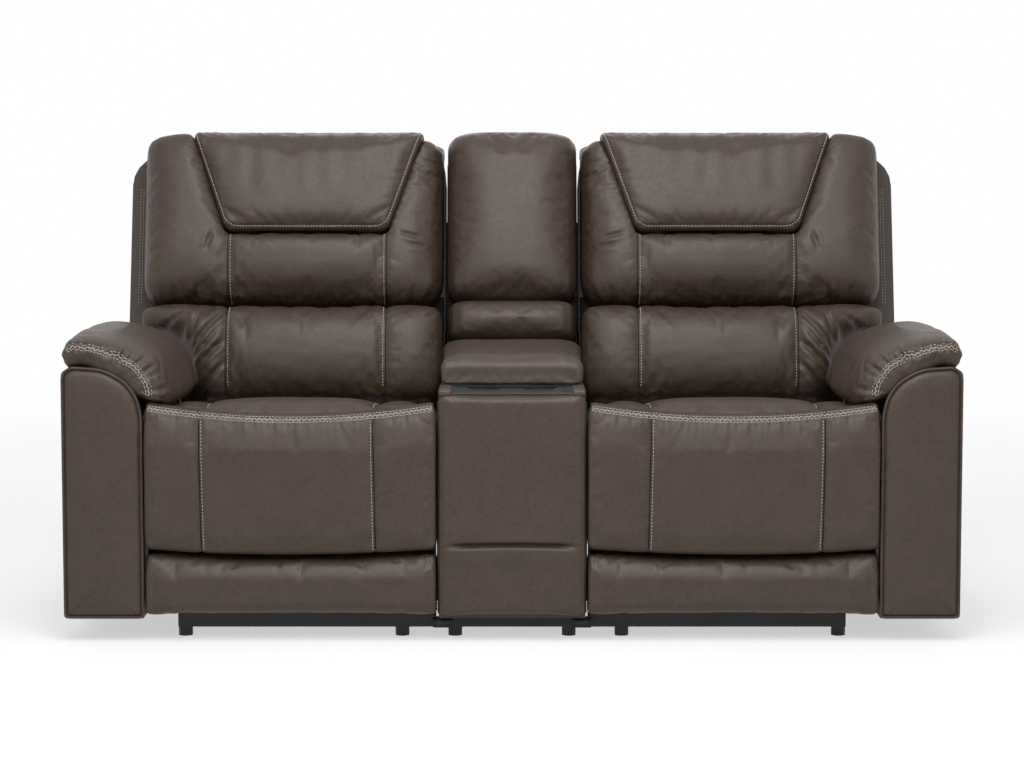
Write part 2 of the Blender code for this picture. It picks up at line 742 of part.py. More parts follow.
def front_pad(low, high, rolled):
    """A pad of the seat's front. The upper one rolls over the footrest's hinge."""
    a = (-PAD_HALF, PAD_HALF)
    b = (low, high)
    c = (-PAD_BACK + FIT, -FRONT + 0.003)
    seams = [(0, PATTERN_SHIFT + sign * SEAT_SEAM) for sign in (-1, 1)] if rolled else []
    a_cuts = [-0.20, 0.0, 0.20]
    if rolled:
        inner, outer = seams[0][1], seams[1][1]
        a_cuts = [(a[0] + inner) / 2, inner, (inner + outer) / 2, outer, (outer + a[1]) / 2]

    def roll(x, y, z, point):
        middle = 1 - (x / a[1]) ** 2
        if y < high - 1e-6 or not rolled:
            sag = PAD_SAG * (middle - 0.5) * ((y < low + 1e-6) if rolled else (y > high - 1e-6))
            return point[0], point[1] - sag, point[2]
        back = z < c[0] + 1e-6
        top = point[1] - PAD_DIP * middle
        return point[0], top, -FOOTREST_HINGE[0] - (ROLL if back else -0.6 * ROLL)

    shape = pillow(a, b, c, 0.014, 0.002, seams, 0.006, roll)
    b_cuts = spread(low, high, 2)
    if rolled:
        b_cuts = [low + 0.09, high - 0.10, high - 0.045]
    mesh = puffed("Y", a, b, c, shape, a_cuts, b_cuts, (), seams)
    plate, ear = BOARD_REAR - 0.042 - NOTCH_PLAY, FOOTREST_HINGE[0] - 0.017 - NOTCH_PLAY * 2
    turn = FOOTREST_HINGE[1] - 0.075
    notch = rectangle((plate, -0.3), (0, high + 0.1))
    if rolled:
        notch[3:] = [(ear, high + 0.1), (ear, turn + 0.02), (plate, turn)]
    return joined([mesh], both_ways([flat("X", notch, NOTCH_HALF, 0.4)]))


def power_actuator():
    centre = (RAIL_X, DRIVE_Z)
    front, rear = FRONT_BAR_Y - 0.014, GEARBOX_Y
    shapes = [round_bar("Y", centre, DRIVE_RAIL, front, rear, 12)]
    foot_z = FRAME_BOTTOM + CROSS_BAR[1] + FIT
    bracket = (RAIL_X - 0.014, RAIL_X + 0.014)
    shapes.append(solid("Z", bracket, (front, front + 0.005), foot_z, DRIVE_Z + 0.014))
    shapes.append(solid("Z", bracket, (front, FRONT_BAR_Y + 0.013), foot_z, foot_z + 0.005))
    wide, long, tall = (size / 2 for size in GEARBOX)
    box = (RAIL_X - wide, RAIL_X + wide)
    length = (GEARBOX_Y - long, GEARBOX_Y + long)
    shapes.append(solid("Z", box, length, DRIVE_Z - tall, DRIVE_Z + tall, 0.008))
    motor = (GEARBOX_Y + 0.005, DRIVE_Z)
    start = RAIL_X + wide - 0.004
    shapes.append(round_bar("X", motor, MOTOR_RADIUS, start, start + MOTOR_LENGTH, 20))
    end = start + MOTOR_LENGTH
    shapes.append(round_bar("X", motor, MOTOR_RADIUS - 0.008, end - 0.001, end + 0.012, 16))
    post = (GEARBOX_Y - 0.005, GEARBOX_Y + 0.030)
    shapes.append(solid("Z", bracket, post, foot_z, DRIVE_Z - tall + 0.004))
    base = (GEARBOX_Y - 0.005, REAR_BAR_Y + 0.013)
    shapes.append(solid("Z", bracket, base, foot_z, foot_z + 0.006))
    return joined(shapes)


def actuator_block():
    wide, long, tall = (size / 2 for size in BLOCK_SIZE)
    x = (RAIL_X - wide, RAIL_X + wide)
    y = (BLOCK_Y - long, BLOCK_Y + long)
    block = solid("Z", x, y, DRIVE_Z - tall, DRIVE_Z + tall, 0.003)
    pin_reach = (RAIL_X + wide - 0.002, LEVER_THICKNESS + 0.002)
    pin = round_bar("X", (BLOCK_Y, DRIVE_Z), BLOCK_PIN, *pin_reach)
    bore = round_bar("Y", (RAIL_X, DRIVE_Z), DRIVE_RAIL + FIT, y[0] - 0.01, y[1] + 0.01, 12)
    return joined([block, pin], [bore])


def shell_outline(inset=0.0, low=SHELL_BOTTOM, edge=0.0):
    """Front view of a back shell: a wing reaches over the arm, and the top corners are round.

    The wing's outer edge is padded, so that inside it the outline draws in by edge as well.
    """
    inner = -SEAT_HALF + RUN - 0.0005 + inset
    side = SEAT_HALF - RUN + 0.0005 - inset
    outer = SEAT_HALF + WING_REACH - inset - edge
    top = SHELL_TOP - inset
    big, small = WING_CORNER - inset - edge / 2, WING_CORNER * 0.6 - inset
    points = [(inner, low), (side, low), (side, WING_BOTTOM + inset), (outer, WING_BOTTOM + inset)]
    points += arc((outer - big, top - big), big, 0, 90, 5)
    points += arc((inner + small, top - small), small, 90, 180, 4)
    return points


def back_shell():
    """A tub that opens to the front and the bottom, with a skirt behind the seat."""
    outline = shell_outline()
    outline[0:1] = [outline[0], (-SKIRT_HALF, SHELL_BOTTOM), (-SKIRT_HALF, SKIRT_BOTTOM)]
    outline[3:3] = [(SKIRT_HALF, SKIRT_BOTTOM), (SKIRT_HALF, SHELL_BOTTOM)]
    outer = flat("V", outline, -SHELL_DEPTH, SHELL_EASE * 2)
    hollow = shell_outline(SHELL_WALL, SKIRT_BOTTOM - 0.08, WING_EDGE)
    room = flat("V", hollow, -SHELL_DEPTH + SHELL_WALL, SHELL_EASE * 4)
    front = solid("V", (-0.5, 0.5), (-0.3, 0.8), 0, SHELL_EASE * 4 + 0.01)
    return joined(
        [eased(outer, SHELL_EASE, 2, 60)], [eased(room, SHELL_EASE - SHELL_WALL, 2, 60), front]
    )


def back_frame():
    half = PIVOT_PLATE + PLATE
    outer = SEAT_HALF + WING_REACH - SHELL_WALL - WING_EDGE - FIT
    low, top = -0.02, SHELL_TOP - 0.010
    wing = WING_BOTTOM + 0.010
    outline = [(-half, low), (half, low), (half, wing), (outer, wing)]
    corner = WING_CORNER - WING_EDGE / 2
    outline += arc((outer - corner, top - corner), corner, 0, 90, 4)
    outline += arc((-half + 0.045, top - 0.045), 0.045, 90, 180, 3)
    windows = [
        rounded((-0.24, 0.24), (0.06, 0.21), (0.03, 0.03, 0.03, 0.03)),
        rounded((-0.24, 0.24), (0.28, 0.40), (0.03, 0.03, 0.03, 0.03)),
        rounded((-0.20, 0.24), (0.49, 0.59), (0.03, 0.03, 0.03, 0.03)),
    ]
    shapes = [flat("V", outline, -BOARD_BACK, 0, windows)]
    for sign in (-1, 1):
        plate = sorted((sign * (half - PLATE), sign * half))
        ear = strap(PIVOT, 0.020, (PIVOT[0] + 0.045, PIVOT[1] + 0.085), 0.014)
        shapes.append(flat("X", ear, *plate))
        pin = sorted((sign * (half - 0.001), sign * (PLATE_OUT - LAYER)))
        shapes.append(round_bar("X", PIVOT, PIVOT_PIN, *pin))
        lug_x = HEADREST_X + sign * LUG_SPREAD
        lug = (lug_x - LUG_THICKNESS / 2, lug_x + LUG_THICKNESS / 2)
        root = (HEADREST_AXIS[0], -0.002)
        hole = circle(HEADREST_AXIS, HINGE_PIN + PIN_PLAY)
        shapes.append(flat("W", strap(root, 0.011, HEADREST_AXIS, 0.011), *lug, [hole]))
    return joined(shapes)


def headrest_half(u):
    """Half the headrest's width at the height u."""
    rise = (u - HEADREST_SEAM) / (BACK_TOP - HEADREST_SEAM)
    return HEADREST_LOW_HALF + (HEADREST_TOP_HALF - HEADREST_LOW_HALF) * rise


def cushion_pocket():
    """The space that the headrest fills in the back cushion, with a gap all round."""
    gap = HEADREST_GAP
    low, top = HEADREST_SEAM, BACK_TOP + 0.04
    low_half, top_half = headrest_half(low) + gap, headrest_half(top) + gap
    left = [(HEADREST_X - low_half, low), (HEADREST_X - top_half, top)]
    right = [(HEADREST_X + top_half, top), (HEADREST_X + low_half, low)]
    return flat("V", left + right, -0.08, BACK_DEPTH + 0.05)


def back_cushion():
    a = (-SEAT_HALF + RUN + 0.001, SEAT_HALF + CUSHION_WING)
    b = (LUMBAR_TOP + 0.002, BACK_TOP + 0.004)
    c = (FIT, BACK_DEPTH + 0.006)
    low, high = HEADREST_X - BACK_SEAM, HEADREST_X + BACK_SEAM
    shelf = SHELL_TOP + 0.006
    a_cuts = (low, HEADREST_X, high, SEAT_HALF + 0.010)

    def crest(x, y, z, point):
        px, py, pz = point
        corner = (x < a[0] + 1e-6) or (x > a[1] - 1e-6)
        if y > b[1] - 1e-6:
            pz = -0.055 if z < c[0] + 1e-6 else pz - 0.020
            py -= 0.030 * corner
        elif y > shelf - 1e-6:
            py -= 0.004 * corner
        return px, py, pz

    shape = pillow(a, b, c, 0.020, 0.004, ((0, low), (0, high)), 0.008, crest)
    b_cuts = (HEADREST_SEAM - 0.075, HEADREST_SEAM - 0.008, 0.55, shelf)
    seams = ((0, low), (0, high))
    mesh = puffed("V", a, b, c, shape, a_cuts, b_cuts, (), seams)
    return joined([mesh], [cushion_pocket()])


def lumbar_cushion():
    """The low roll. Beside the arm's pad it is narrower, and above it a wing reaches over the arm."""
    a = (-SEAT_HALF + RUN + 0.001, SEAT_HALF + CUSHION_WING)
    b = (LUMBAR_BOTTOM, LUMBAR_TOP)
    c = (FIT, LUMBAR_DEPTH)
    low, high = HEADREST_X - BACK_SEAM, HEADREST_X + BACK_SEAM
    side, shoulder = SEAT_HALF - 0.060, SEAT_HALF - 0.030
    rows = (0.10, 0.165, 0.215)
    depths = (0.095,)

    def beside_arm(x, y, z, point):
        px, py, pz = point
        front = z > depths[0] + 1e-6
        if x > side - 1e-6:
            px = SEAT_HALF - (0.060 if front else RUN + 0.004)
        if x > shoulder - 1e-6:
            px += 0.012 if front else 0.003
            py = WING_BOTTOM + (y - b[0]) * (b[1] - WING_BOTTOM) / (b[1] - b[0])
            pz -= 0.012 * front
        if x > a[1] - 1e-6:
            px = point[0]
            pz -= 0.016 * front
        return px, py, pz

    shape = pillow(a, b, c, 0.030, 0.004, ((0, low), (0, high)), 0.008, beside_arm)
    a_cuts = ((a[0] + low) / 2, low, HEADREST_X, high, side, shoulder)
    seams = ((0, low), (0, high))
    mesh = puffed("V", a, b, c, shape, a_cuts, rows, depths, seams)
    plates = rectangle((-0.01, 0.108), (-0.01, 0.036))
    return joined([mesh], both_ways([flat("W", plates, PIVOT_PLATE - 0.0005, 0.4)]))


def headrest_frame():
    axis = HEADREST_AXIS
    plate_v = (HEADREST_PLATE_V, HEADREST_PLATE_V + HEADREST_PLATE)
    middle = sum(plate_v) / 2
    low, top = axis[0] + 0.041, BACK_TOP - 0.040
    half = headrest_half(low) - 0.030
    outline = rounded((HEADREST_X - half, HEADREST_X + half), (low, top), (0.02,) * 4)
    shapes = [flat("V", outline, *plate_v)]
    reach = LUG_SPREAD + LUG_THICKNESS + 0.010
    tube = (HEADREST_X - reach, HEADREST_X + reach)
    shapes.append(round_bar("W", axis, HINGE_PIN, *tube))
    for sign in (-1, 1):
        ear_x = HEADREST_X + sign * (LUG_SPREAD + LUG_THICKNESS + 0.002)
        ear = (ear_x - LUG_THICKNESS / 2, ear_x + LUG_THICKNESS / 2)
        root = (low + 0.006, middle)
        shapes.append(flat("W", strap(axis, 0.011, root, HEADREST_PLATE / 2), *ear))
    return joined(shapes)


def headrest_pad():
    a = (-1.0, 1.0)
    b = (HEADREST_SEAM + HEADREST_GAP + 0.001, BACK_TOP)
    c = (HEADREST_PLATE_V + HEADREST_PLATE + FIT, BACK_DEPTH + 0.006)

    def trapezoid(x, y, z, point):
        half = headrest_half(y)
        front = z > c[0] + 1e-6
        side = abs(x) > 0.99
        depth = point[2]
        if y < b[0] + 1e-6 and front:
            depth -= 0.008
        if y > b[1] - 1e-6:
            depth -= 0.020 * front
        return HEADREST_X + x * half - math.copysign(0.005, x) * side * front, point[1], depth

    shape = pillow(a, b, c, 0.016, 0.0, (), 0, trapezoid)
    rows = (b[0] + 0.035, b[0] + 0.13, b[1] - 0.030)
    mesh = puffed("V", a, b, c, shape, (-0.82, 0.0, 0.82), rows)
    reach = LUG_SPREAD + LUG_THICKNESS + 0.016
    pocket_x = (HEADREST_X - reach, HEADREST_X + reach)
    pocket_v = (-0.02, HEADREST_AXIS[1] + 0.014)
    pocket = solid("V", pocket_x, (b[0] - 0.05, HEADREST_AXIS[0] + 0.056), *pocket_v)
    return joined([mesh], [pocket])


def headrest_motor():
    x = (HEADREST_X - 0.035, HEADREST_X + 0.035)
    board = -BOARD_BACK - FIT
    plate = solid("V", (x[0] - 0.02, x[1] + 0.02), (0.405, 0.470), board - 0.004, board)
    box = solid("V", x, (0.400, 0.475), board - 0.055, board - 0.003, 0.006)
    motor = round_bar("W", (0.437, board - 0.030), 0.021, x[1] - 0.004, x[1] + 0.065, 16)
    return joined([plate, box, motor])


def arm_section(grow=0.0):
    """Front view of an arm, grown by grow on every side."""
    inner, outer = ARM_INNER - SEAT_X - grow, ARM_OUTER - SEAT_X + grow
    crest = (outer - 0.040 - grow, ARM_CREST + grow)
    shoulder = (inner + 0.0665 + grow, ARM_CREST - 0.021 + grow)
    knee = (inner + 0.024, ARM_CREST - 0.057 + grow)
    points = [(inner, ARM_BOTTOM - grow), (outer - 0.004, ARM_BOTTOM - grow)]
    points += [(outer, ARM_BOTTOM + 0.004), (outer, ARM_CREST - 0.022)]
    points += arc((outer - 0.016, ARM_CREST - 0.020 + grow), 0.016, 20, 75, 3)
    points += [crest, shoulder, knee, (inner + 0.005, ARM_CREST - 0.095), (inner, ARM_CREST - 0.140)]
    return points


def arm_body():
    body = flat("Y", arm_section(), ARM_FRONT, ARM_REAR)
    high = ARM_CREST + 0.2
    shoulder = [(ARM_REAR + 0.1, 0.37), (ARM_REAR, 0.38), (0.12, 0.50), (0.092, ARM_CREST)]
    shoulder += [(0.085, high), (ARM_REAR + 0.1, high)]
    width = (ARM_INNER - SEAT_X - 0.05, ARM_OUTER - SEAT_X + 0.05)
    cut = flat("X", shoulder, *width)
    depth = SWITCH_COLLAR[1] + 0.006
    outer = ARM_OUTER - SEAT_X
    pocket_y = (SWITCH_AT[0] - 0.041, SWITCH_AT[0] + 0.041)
    pocket_z = (SWITCH_AT[1] - 0.019, SWITCH_AT[1] + 0.019)
    pocket = solid("Z", (outer - depth, outer + 0.05), pocket_y, *pocket_z)
    return joined([body], [cut, pocket])


def arm_front_panel():
    section = arm_section()
    rear = ARM_FRONT - FIT
    panel = flat("Y", section, rear - ARM_PANEL, rear)
    panel = eased(panel, 0.003, 2, 50)
    top = [point for point in section if point[1] > ARM_CREST - 0.15]
    route = [(x, rear - 0.006, z) for x, z in top]
    return joined([panel, bead(route, PIPING)])


def arm_point(out, rise):
    """A point that far out of the arm's outer face and above its crest."""
    return ARM_OUTER - SEAT_X + out, ARM_CREST + rise


def arm_pad_section(share):
    """Skin of the pillow pad, from the arm's outer side over the top to its inner side.

    Each point is its distance from the arm's outer face and from the crest. At share 0 it is the
    tight front end, and at share 1 the full middle.
    """
    front = [(0, 0), (0.008, 0.032), (-0.007, 0.053), (-0.056, 0.049), (-0.128, 0.024)]
    front += [(-0.168, -0.004), (-0.189, -0.042), (-0.185, -0.071)]
    full = [(0.004, -0.004), (0.012, 0.040), (-0.007, 0.076), (-0.060, 0.085), (-0.138, 0.072)]
    full += [(-0.206, 0.032), (-0.247, -0.030), (-0.236, -0.086)]
    return [
        arm_point(p[0] + (q[0] - p[0]) * share, p[1] + (q[1] - p[1]) * share)
        for p, q in zip(front, full)
    ]


def arm_pad():
    """Rings of the pad's section joined along the arm, subdivided and cut to the arm's top."""
    stations = [(ARM_FRONT - 0.006, 0.0, 0.0), (ARM_FRONT + 0.030, 0.65, 0.0)]
    stations += [(-0.32, 1.0, 0.0), (-0.16, 1.0, 0.004), (-0.03, 0.95, 0.008)]
    stations += [(0.040, 0.60, 0.012), (0.076, 0.25, 0.018)]
    core = [arm_point(-0.168, -0.070), arm_point(-0.108, -0.045), arm_point(-0.028, -0.030)]
    bm = bmesh.new()
    rings = []
    for y, share, drop in stations:
        ring = [(x, z - drop) for x, z in arm_pad_section(share)]
        rings.append([bm.verts.new((x, y, z)) for x, z in ring + core])
    for near, far in zip(rings, rings[1:]):
        for i in range(len(near)):
            j = (i + 1) % len(near)
            bm.faces.new((near[i], near[j], far[j], far[i]))
    bm.faces.new(rings[0][::-1])
    bm.faces.new(rings[-1])
    bmesh.ops.recalc_face_normals(bm, faces=bm.faces)
    mesh = bpy.data.meshes.new("pad")
    bm.to_mesh(mesh)
    bm.free()
    obj = helper(mesh)
    smooth = obj.modifiers.new("soft", "SUBSURF")
    smooth.levels = smooth.render_levels = 1
    pad = taken(obj, triangles=True)
    seat = flat("Y", arm_section(FIT), ARM_FRONT - 0.05, ARM_REAR)
    return joined([pad], [seat])


def switch_panel():
    outer = ARM_OUTER - SEAT_X + FIT
    long, tall, thick = SWITCH_PANEL
    y, z = SWITCH_AT
    wide, high = SWITCH_WINDOW
    outline = rounded((y - long / 2, y + long / 2), (z - tall / 2, z + tall / 2), (0.008,) * 4)
    window = rectangle((y - wide / 2, y + wide / 2), (z - high / 2, z + high / 2))
    plate = flat("X", outline, outer, outer + thick, [window])
    wall, depth = SWITCH_COLLAR
    rim = rectangle(
        (y - wide / 2 - wall, y + wide / 2 + wall), (z - high / 2 - wall, z + high / 2 + wall)
    )
    collar = flat("X", rim, outer - depth, outer + 0.001, [window])
    axis = outer - FIT + ROCKER_AXIS
    holes = [
        round_bar("Z", (axis, place), 0.0018, z - high, z + high, 10)
        for place in rocker_places().values()
    ]
    return joined([plate, collar], holes)


def rocker(place):
    """A two-way rocker that tips about an upright pin."""
    outer = ARM_OUTER - SEAT_X
    axis = outer + ROCKER_AXIS
    long, tall = ROCKER
    face = outer + SWITCH_PANEL[2] + 0.0008
    profile = [(axis - 0.004, place - long * 0.3), (face - 0.0005, place - long / 2)]
    profile += [(face + 0.0018, place - long / 2 + 0.001), (face + 0.0003, place)]
    profile += [(face + 0.0018, place + long / 2 - 0.001), (face - 0.0005, place + long / 2)]
    profile += [(axis - 0.004, place + long * 0.3)]
    z = SWITCH_AT[1]
    body = flat("Z", profile, z - tall / 2, z + tall / 2)
    reach = SWITCH_WINDOW[1] / 2 + SWITCH_COLLAR[0] - 0.0005
    return joined([body, round_bar("Z", (axis, place), 0.0015, z - reach, z + reach, 10)])


def console_base():
    half = CONSOLE_HALF - 0.019
    return joined(base_rails((-half, half), half - RAIL / 2, half - RAIL / 2))


def console_body():
    half = CONSOLE_HALF
    outer = solid("Z", (-half, half), (CONSOLE_FRONT, CONSOLE_REAR), BASE_TOP + FIT, CONSOLE_TOP)
    inner = half - CONSOLE_WALL
    floor = BASE_TOP + FIT + CONSOLE_WALL
    partition = (PARTITION_Y - PARTITION / 2, PARTITION_Y + PARTITION / 2)
    rooms = []
    for y in ((CONSOLE_FRONT + CONSOLE_WALL, partition[0]), (partition[1], CONSOLE_REAR - CONSOLE_WALL)):
        rooms.append(solid("Z", (-inner, inner), y, floor, CONSOLE_TOP + 0.1))
    lugs = []
    y, z = LID_HINGE
    for sign in (-1, 1):
        lug_x = sign * LID_LUGS
        lug = strap((y, CONSOLE_TOP - 0.02), 0.009, (y, z), 0.009)
        thick = (lug_x - 0.002, lug_x + 0.002)
        lugs.append(flat("X", lug, *thick, [circle(LID_HINGE, LID_PIN + FIT)]))
    shelf_y = (BIN_REAR + 0.004, CONSOLE_REAR - 0.004)
    shelf = solid("Z", (-inner - 0.004, inner + 0.004), shelf_y, CONSOLE_TOP - CONSOLE_WALL, CONSOLE_TOP)
    width, height = INLET
    supply_z = floor + FIT + SUPPLY[2] / 2
    socket = rectangle(
        (-width / 2 - 0.001, width / 2 + 0.001),
        (supply_z - height / 2 - 0.001, supply_z + height / 2 + 0.001),
    )
    hole = flat("Y", socket, CONSOLE_REAR - 0.02, CONSOLE_REAR + 0.02)
    return joined([joined([outer], [*rooms, hole]), shelf, *lugs])


def power_supply():
    floor = BASE_TOP + FIT + CONSOLE_WALL + FIT
    wide, long, tall = SUPPLY
    rear = CONSOLE_REAR - CONSOLE_WALL - 0.012
    box = solid("Z", (-wide / 2, wide / 2), (rear - long, rear), floor, floor + tall, 0.004)
    width, height = INLET
    middle = floor + tall / 2
    z = (middle - height / 2, middle + height / 2)
    inlet = solid("Z", (-width / 2, width / 2), (rear - 0.01, CONSOLE_REAR - 0.001), *z)
    socket = rectangle((-width / 2 + 0.003, width / 2 - 0.003), (z[0] + 0.003, z[1] - 0.003))
    recess = flat("Y", socket, CONSOLE_REAR - 0.014, CONSOLE_REAR + 0.01)
    pins = []
    for x in (-0.008, 0.0, 0.008):
        pin = (CONSOLE_REAR - 0.016, CONSOLE_REAR - 0.005)
        pins.append(solid("Z", (x - 0.001, x + 0.001), pin, middle - 0.003, middle + 0.003))
    return joined([joined([box, inlet], [recess]), *pins])


def console_front_pad():
    half = CONSOLE_HALF - 0.0005
    a, b = (-half, half), (PAD_BOTTOM, CONSOLE_TOP)
    c = (-CONSOLE_FRONT + FIT, -FRONT + 0.004)
    tuck = 0.209
    shape = pillow(a, b, c, 0.012, 0.004, ((1, tuck),), 0.008)
    rows = ((b[0] + tuck) / 2, tuck, (tuck + b[1]) / 2)
    return puffed("Y", a, b, c, shape, (-0.06, 0.06), rows, (), ((1, tuck),))


def console_bin():
    inner = CONSOLE_HALF - CONSOLE_WALL - 0.0005
    front = PARTITION_Y + PARTITION / 2 + 0.0005
    flange_z = (CONSOLE_TOP + FIT, CONSOLE_TOP + FIT + BIN_WALL)
    body = solid("Z", (-inner, inner), (front, BIN_REAR), BIN_FLOOR, flange_z[1])
    rim = (PARTITION_Y - 0.0005, BIN_REAR + 0.008)
    flange = solid("Z", (-inner - 0.006, inner + 0.006), rim, *flange_z)
    room_y = (front + BIN_WALL, BIN_REAR - BIN_WALL)
    room_x = (-inner + BIN_WALL, inner - BIN_WALL)
    room = solid("Z", room_x, room_y, BIN_FLOOR + BIN_WALL, flange_z[1] + 0.05, 0.012)
    return joined([body, flange], [room])


def console_tray():
    """Plastic tray with two cup wells and raised ends."""
    half = CONSOLE_HALF - 0.007
    rear = PARTITION_Y - 0.001
    low = CONSOLE_TOP + FIT
    top = low + TRAY_PLATE
    centre = (CONSOLE_FRONT + CONSOLE_WALL + PARTITION_Y - PARTITION / 2) / 2
    plate = solid("Z", (-half, half), (FRONT + 0.006, rear), low, top, 0.0015)
    shapes, cuts = [plate], []
    for sign in (-1, 1):
        end = sorted((sign * (half - 0.034), sign * (half - 0.017)))
        shapes.append(solid("Z", end, (FRONT + 0.010, rear - 0.002), top - 0.001, top + 0.004, 0.0015))
        well = (sign * CUP_SPREAD, centre)
        floor = top - CUP_DEPTH
        shapes.append(
            round_bar("Z", well, CUP_RADIUS + TRAY_WALL, floor - TRAY_WALL, top - 0.001, 24)
        )
        cuts.append(round_bar("Z", well, CUP_RADIUS, floor, top + 0.05, 24))
    return joined(shapes, cuts)


def console_back_shell():
    half = CONSOLE_BACK_HALF
    low, top = 0.05, SHELL_TOP
    round_top = (0, 0, 0.03, 0.03)
    outer = flat("V", rounded((-half, half), (low, top), round_top), -SHELL_DEPTH, CONSOLE_BACK_BOARD)
    inner = half - 0.008
    room_outline = rounded((-inner, inner), (low - 0.05, top - 0.008), (0, 0, 0.02, 0.02))
    room = flat("V", room_outline, -SHELL_DEPTH + 0.006, CONSOLE_BACK_BOARD - 0.010)
    rest = solid("Z", (-0.3, 0.3), (-0.1, CONSOLE_REAR + FIT), 0.3, CONSOLE_TOP + FIT)
    lid_room = solid("Z", (-0.3, 0.3), (-0.1, LID_HINGE[0] + 0.016), 0.3, LID_TOP + 0.002)
    return joined([eased(outer, 0.010, 2, 60)], [room, rest, lid_room])


def console_back_pad_upper():
    half = CONSOLE_BACK_HALF
    a, b = (-half, half), (CONSOLE_ROLL[1] + 0.002, BACK_TOP)
    c = (CONSOLE_BACK_BOARD + FIT, BACK_DEPTH - 0.004)

    def crest(x, y, z, point):
        px, py, pz = point
        if y > b[1] - 1e-6:
            pz = -0.050 if z < c[0] + 1e-6 else pz - 0.020
        return px, py, pz

    shape = pillow(a, b, c, 0.018, 0.004, (), 0, crest)
    rows = (b[0] + 0.05, 0.45, 0.57, SHELL_TOP + 0.006)
    return puffed("V", a, b, c, shape, (-0.06, 0.06), rows)


def console_back_roll():
    half = CONSOLE_BACK_HALF - 0.002
    a, b = (-half, half), CONSOLE_ROLL
    c = (CONSOLE_BACK_BOARD + FIT, BACK_DEPTH + 0.006)
    shape = pillow(a, b, c, 0.020, 0.004)
    return puffed("V", a, b, c, shape, (-0.09, 0.09), spread(*b, 3))


def lid_board():
    board = solid("Z", (-0.150, 0.150), (LID_FRONT + 0.006, 0.012), LID_BOTTOM, LID_BOTTOM + LID_BOARD)
    y, z = LID_HINGE
    shapes = [board]
    for sign in (-1, 1):
        ear_x = sign * LID_EARS
        ear = strap((0.002, LID_BOTTOM + LID_BOARD / 2), 0.006, (y, z), 0.009)
        thick = (ear_x - 0.002, ear_x + 0.002)
        shapes.append(flat("X", ear, *thick, [circle(LID_HINGE, LID_PIN + FIT)]))
    return joined(shapes)


def lid_pad():
    half = CONSOLE_HALF + 0.001
    a, b = (-half, half), (LID_FRONT, LID_REAR)
    c = (LID_BOTTOM + LID_BOARD + FIT, LID_TOP + 0.004)
    shape = pillow(a, b, c, 0.012, 0.003)
    mesh = puffed("Z", a, b, c, shape, (-0.10, 0.10), spread(*b, 4))
    slots = []
    for sign in (-1, 1):
        ear_x = sign * LID_EARS
        slot = (ear_x - 0.003, ear_x + 0.003)
        slots.append(solid("Z", slot, (-0.012, 0.05), LID_BOTTOM, LID_TOP + 0.02))
    return joined([mesh], slots)


def lid_hinge_pin():
    reach = LID_EARS + 0.010
    return round_bar("X", LID_HINGE, LID_PIN, -reach, reach)


def build():
    start_scene()
    sofa = Loveseat()
    set_joints(sofa)
    places = rocker_places()
    sofa.pair("base_frame", base_frame(), "", "steel")
    sofa.pair("arm_body", arm_body(), "", "leather")
    sofa.pair("arm_front_panel", arm_front_panel(), "", "leather")
    sofa.pair("arm_pad", arm_pad(), "", "leather")
    sofa.pair("switch_panel", switch_panel(), "", "plastic")
    sofa.pair("recline_rocker", rocker(places["recline_rocker"]), "recline_rocker", "plastic")
    sofa.pair("headrest_rocker", rocker(places["headrest_rocker"]), "headrest_rocker", "plastic")
    sofa.pair("seat_frame", seat_frame(), "seat", "steel")
    sofa.pair("seat_cushion", seat_cushion(), "seat", "leather")
    sofa.pair("power_actuator", power_actuator(), "seat", "plastic")
    sofa.pair("actuator_block", actuator_block(), "block", "plastic")
    sofa.pair("torque_tube", torque_tube(), "crank", "zinc")
    sofa.pair("inner_footrest_link", footrest_link(-1), "links", "zinc")
    sofa.pair("outer_footrest_link", footrest_link(1), "links", "zinc")
    sofa.pair("footrest_tray", footrest_tray(), "footrest", "steel")
    upper = front_pad(PAD_SPLIT + PAD_SPLIT_GAP / 2, FOOTREST_HINGE[1] + ROLL, True)
    sofa.pair("footrest_pad_upper", upper, "footrest", "leather")
    lower = front_pad(PAD_BOTTOM, PAD_SPLIT - PAD_SPLIT_GAP / 2, False)
    sofa.pair("footrest_pad_lower", lower, "footrest", "leather")
    sofa.pair("back_frame", back_frame(), "back", "wood")
    sofa.pair("back_shell", back_shell(), "back", "leather_dark")
    sofa.pair("back_cushion", back_cushion(), "back", "leather")
    sofa.pair("lumbar_cushion", lumbar_cushion(), "back", "leather")
    sofa.pair("headrest_motor", headrest_motor(), "back", "plastic")
    sofa.pair("headrest_frame", headrest_frame(), "headrest", "steel")
    sofa.pair("headrest_pad", headrest_pad(), "headrest", "leather")
    sofa.add("console_base", console_base(), "root", "steel")
    sofa.add("console_body", console_body(), "root", "leather")
    sofa.add("console_front_pad", console_front_pad(), "root", "leather")
    sofa.add("console_bin", console_bin(), "root", "plastic")
    sofa.add("console_tray", console_tray(), "root", "plastic")
    sofa.add("console_back_shell", console_back_shell(), "root", "leather_dark")
    sofa.add("console_back_pad_upper", console_back_pad_upper(), "root", "leather")
    sofa.add("console_back_roll", console_back_roll(), "root", "leather")
    sofa.add("lid_hinge_pin", lid_hinge_pin(), "root", "zinc")
    sofa.add("power_supply", power_supply(), "root", "plastic")
    sofa.add("console_lid_board", lid_board(), "console_lid", "plastic")
    sofa.add("console_lid_pad", lid_pad(), "console_lid", "leather")


build()
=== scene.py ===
import math
import time

import bmesh
import bpy
import numpy as np
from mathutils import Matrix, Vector
from mathutils.bvhtree import BVHTree


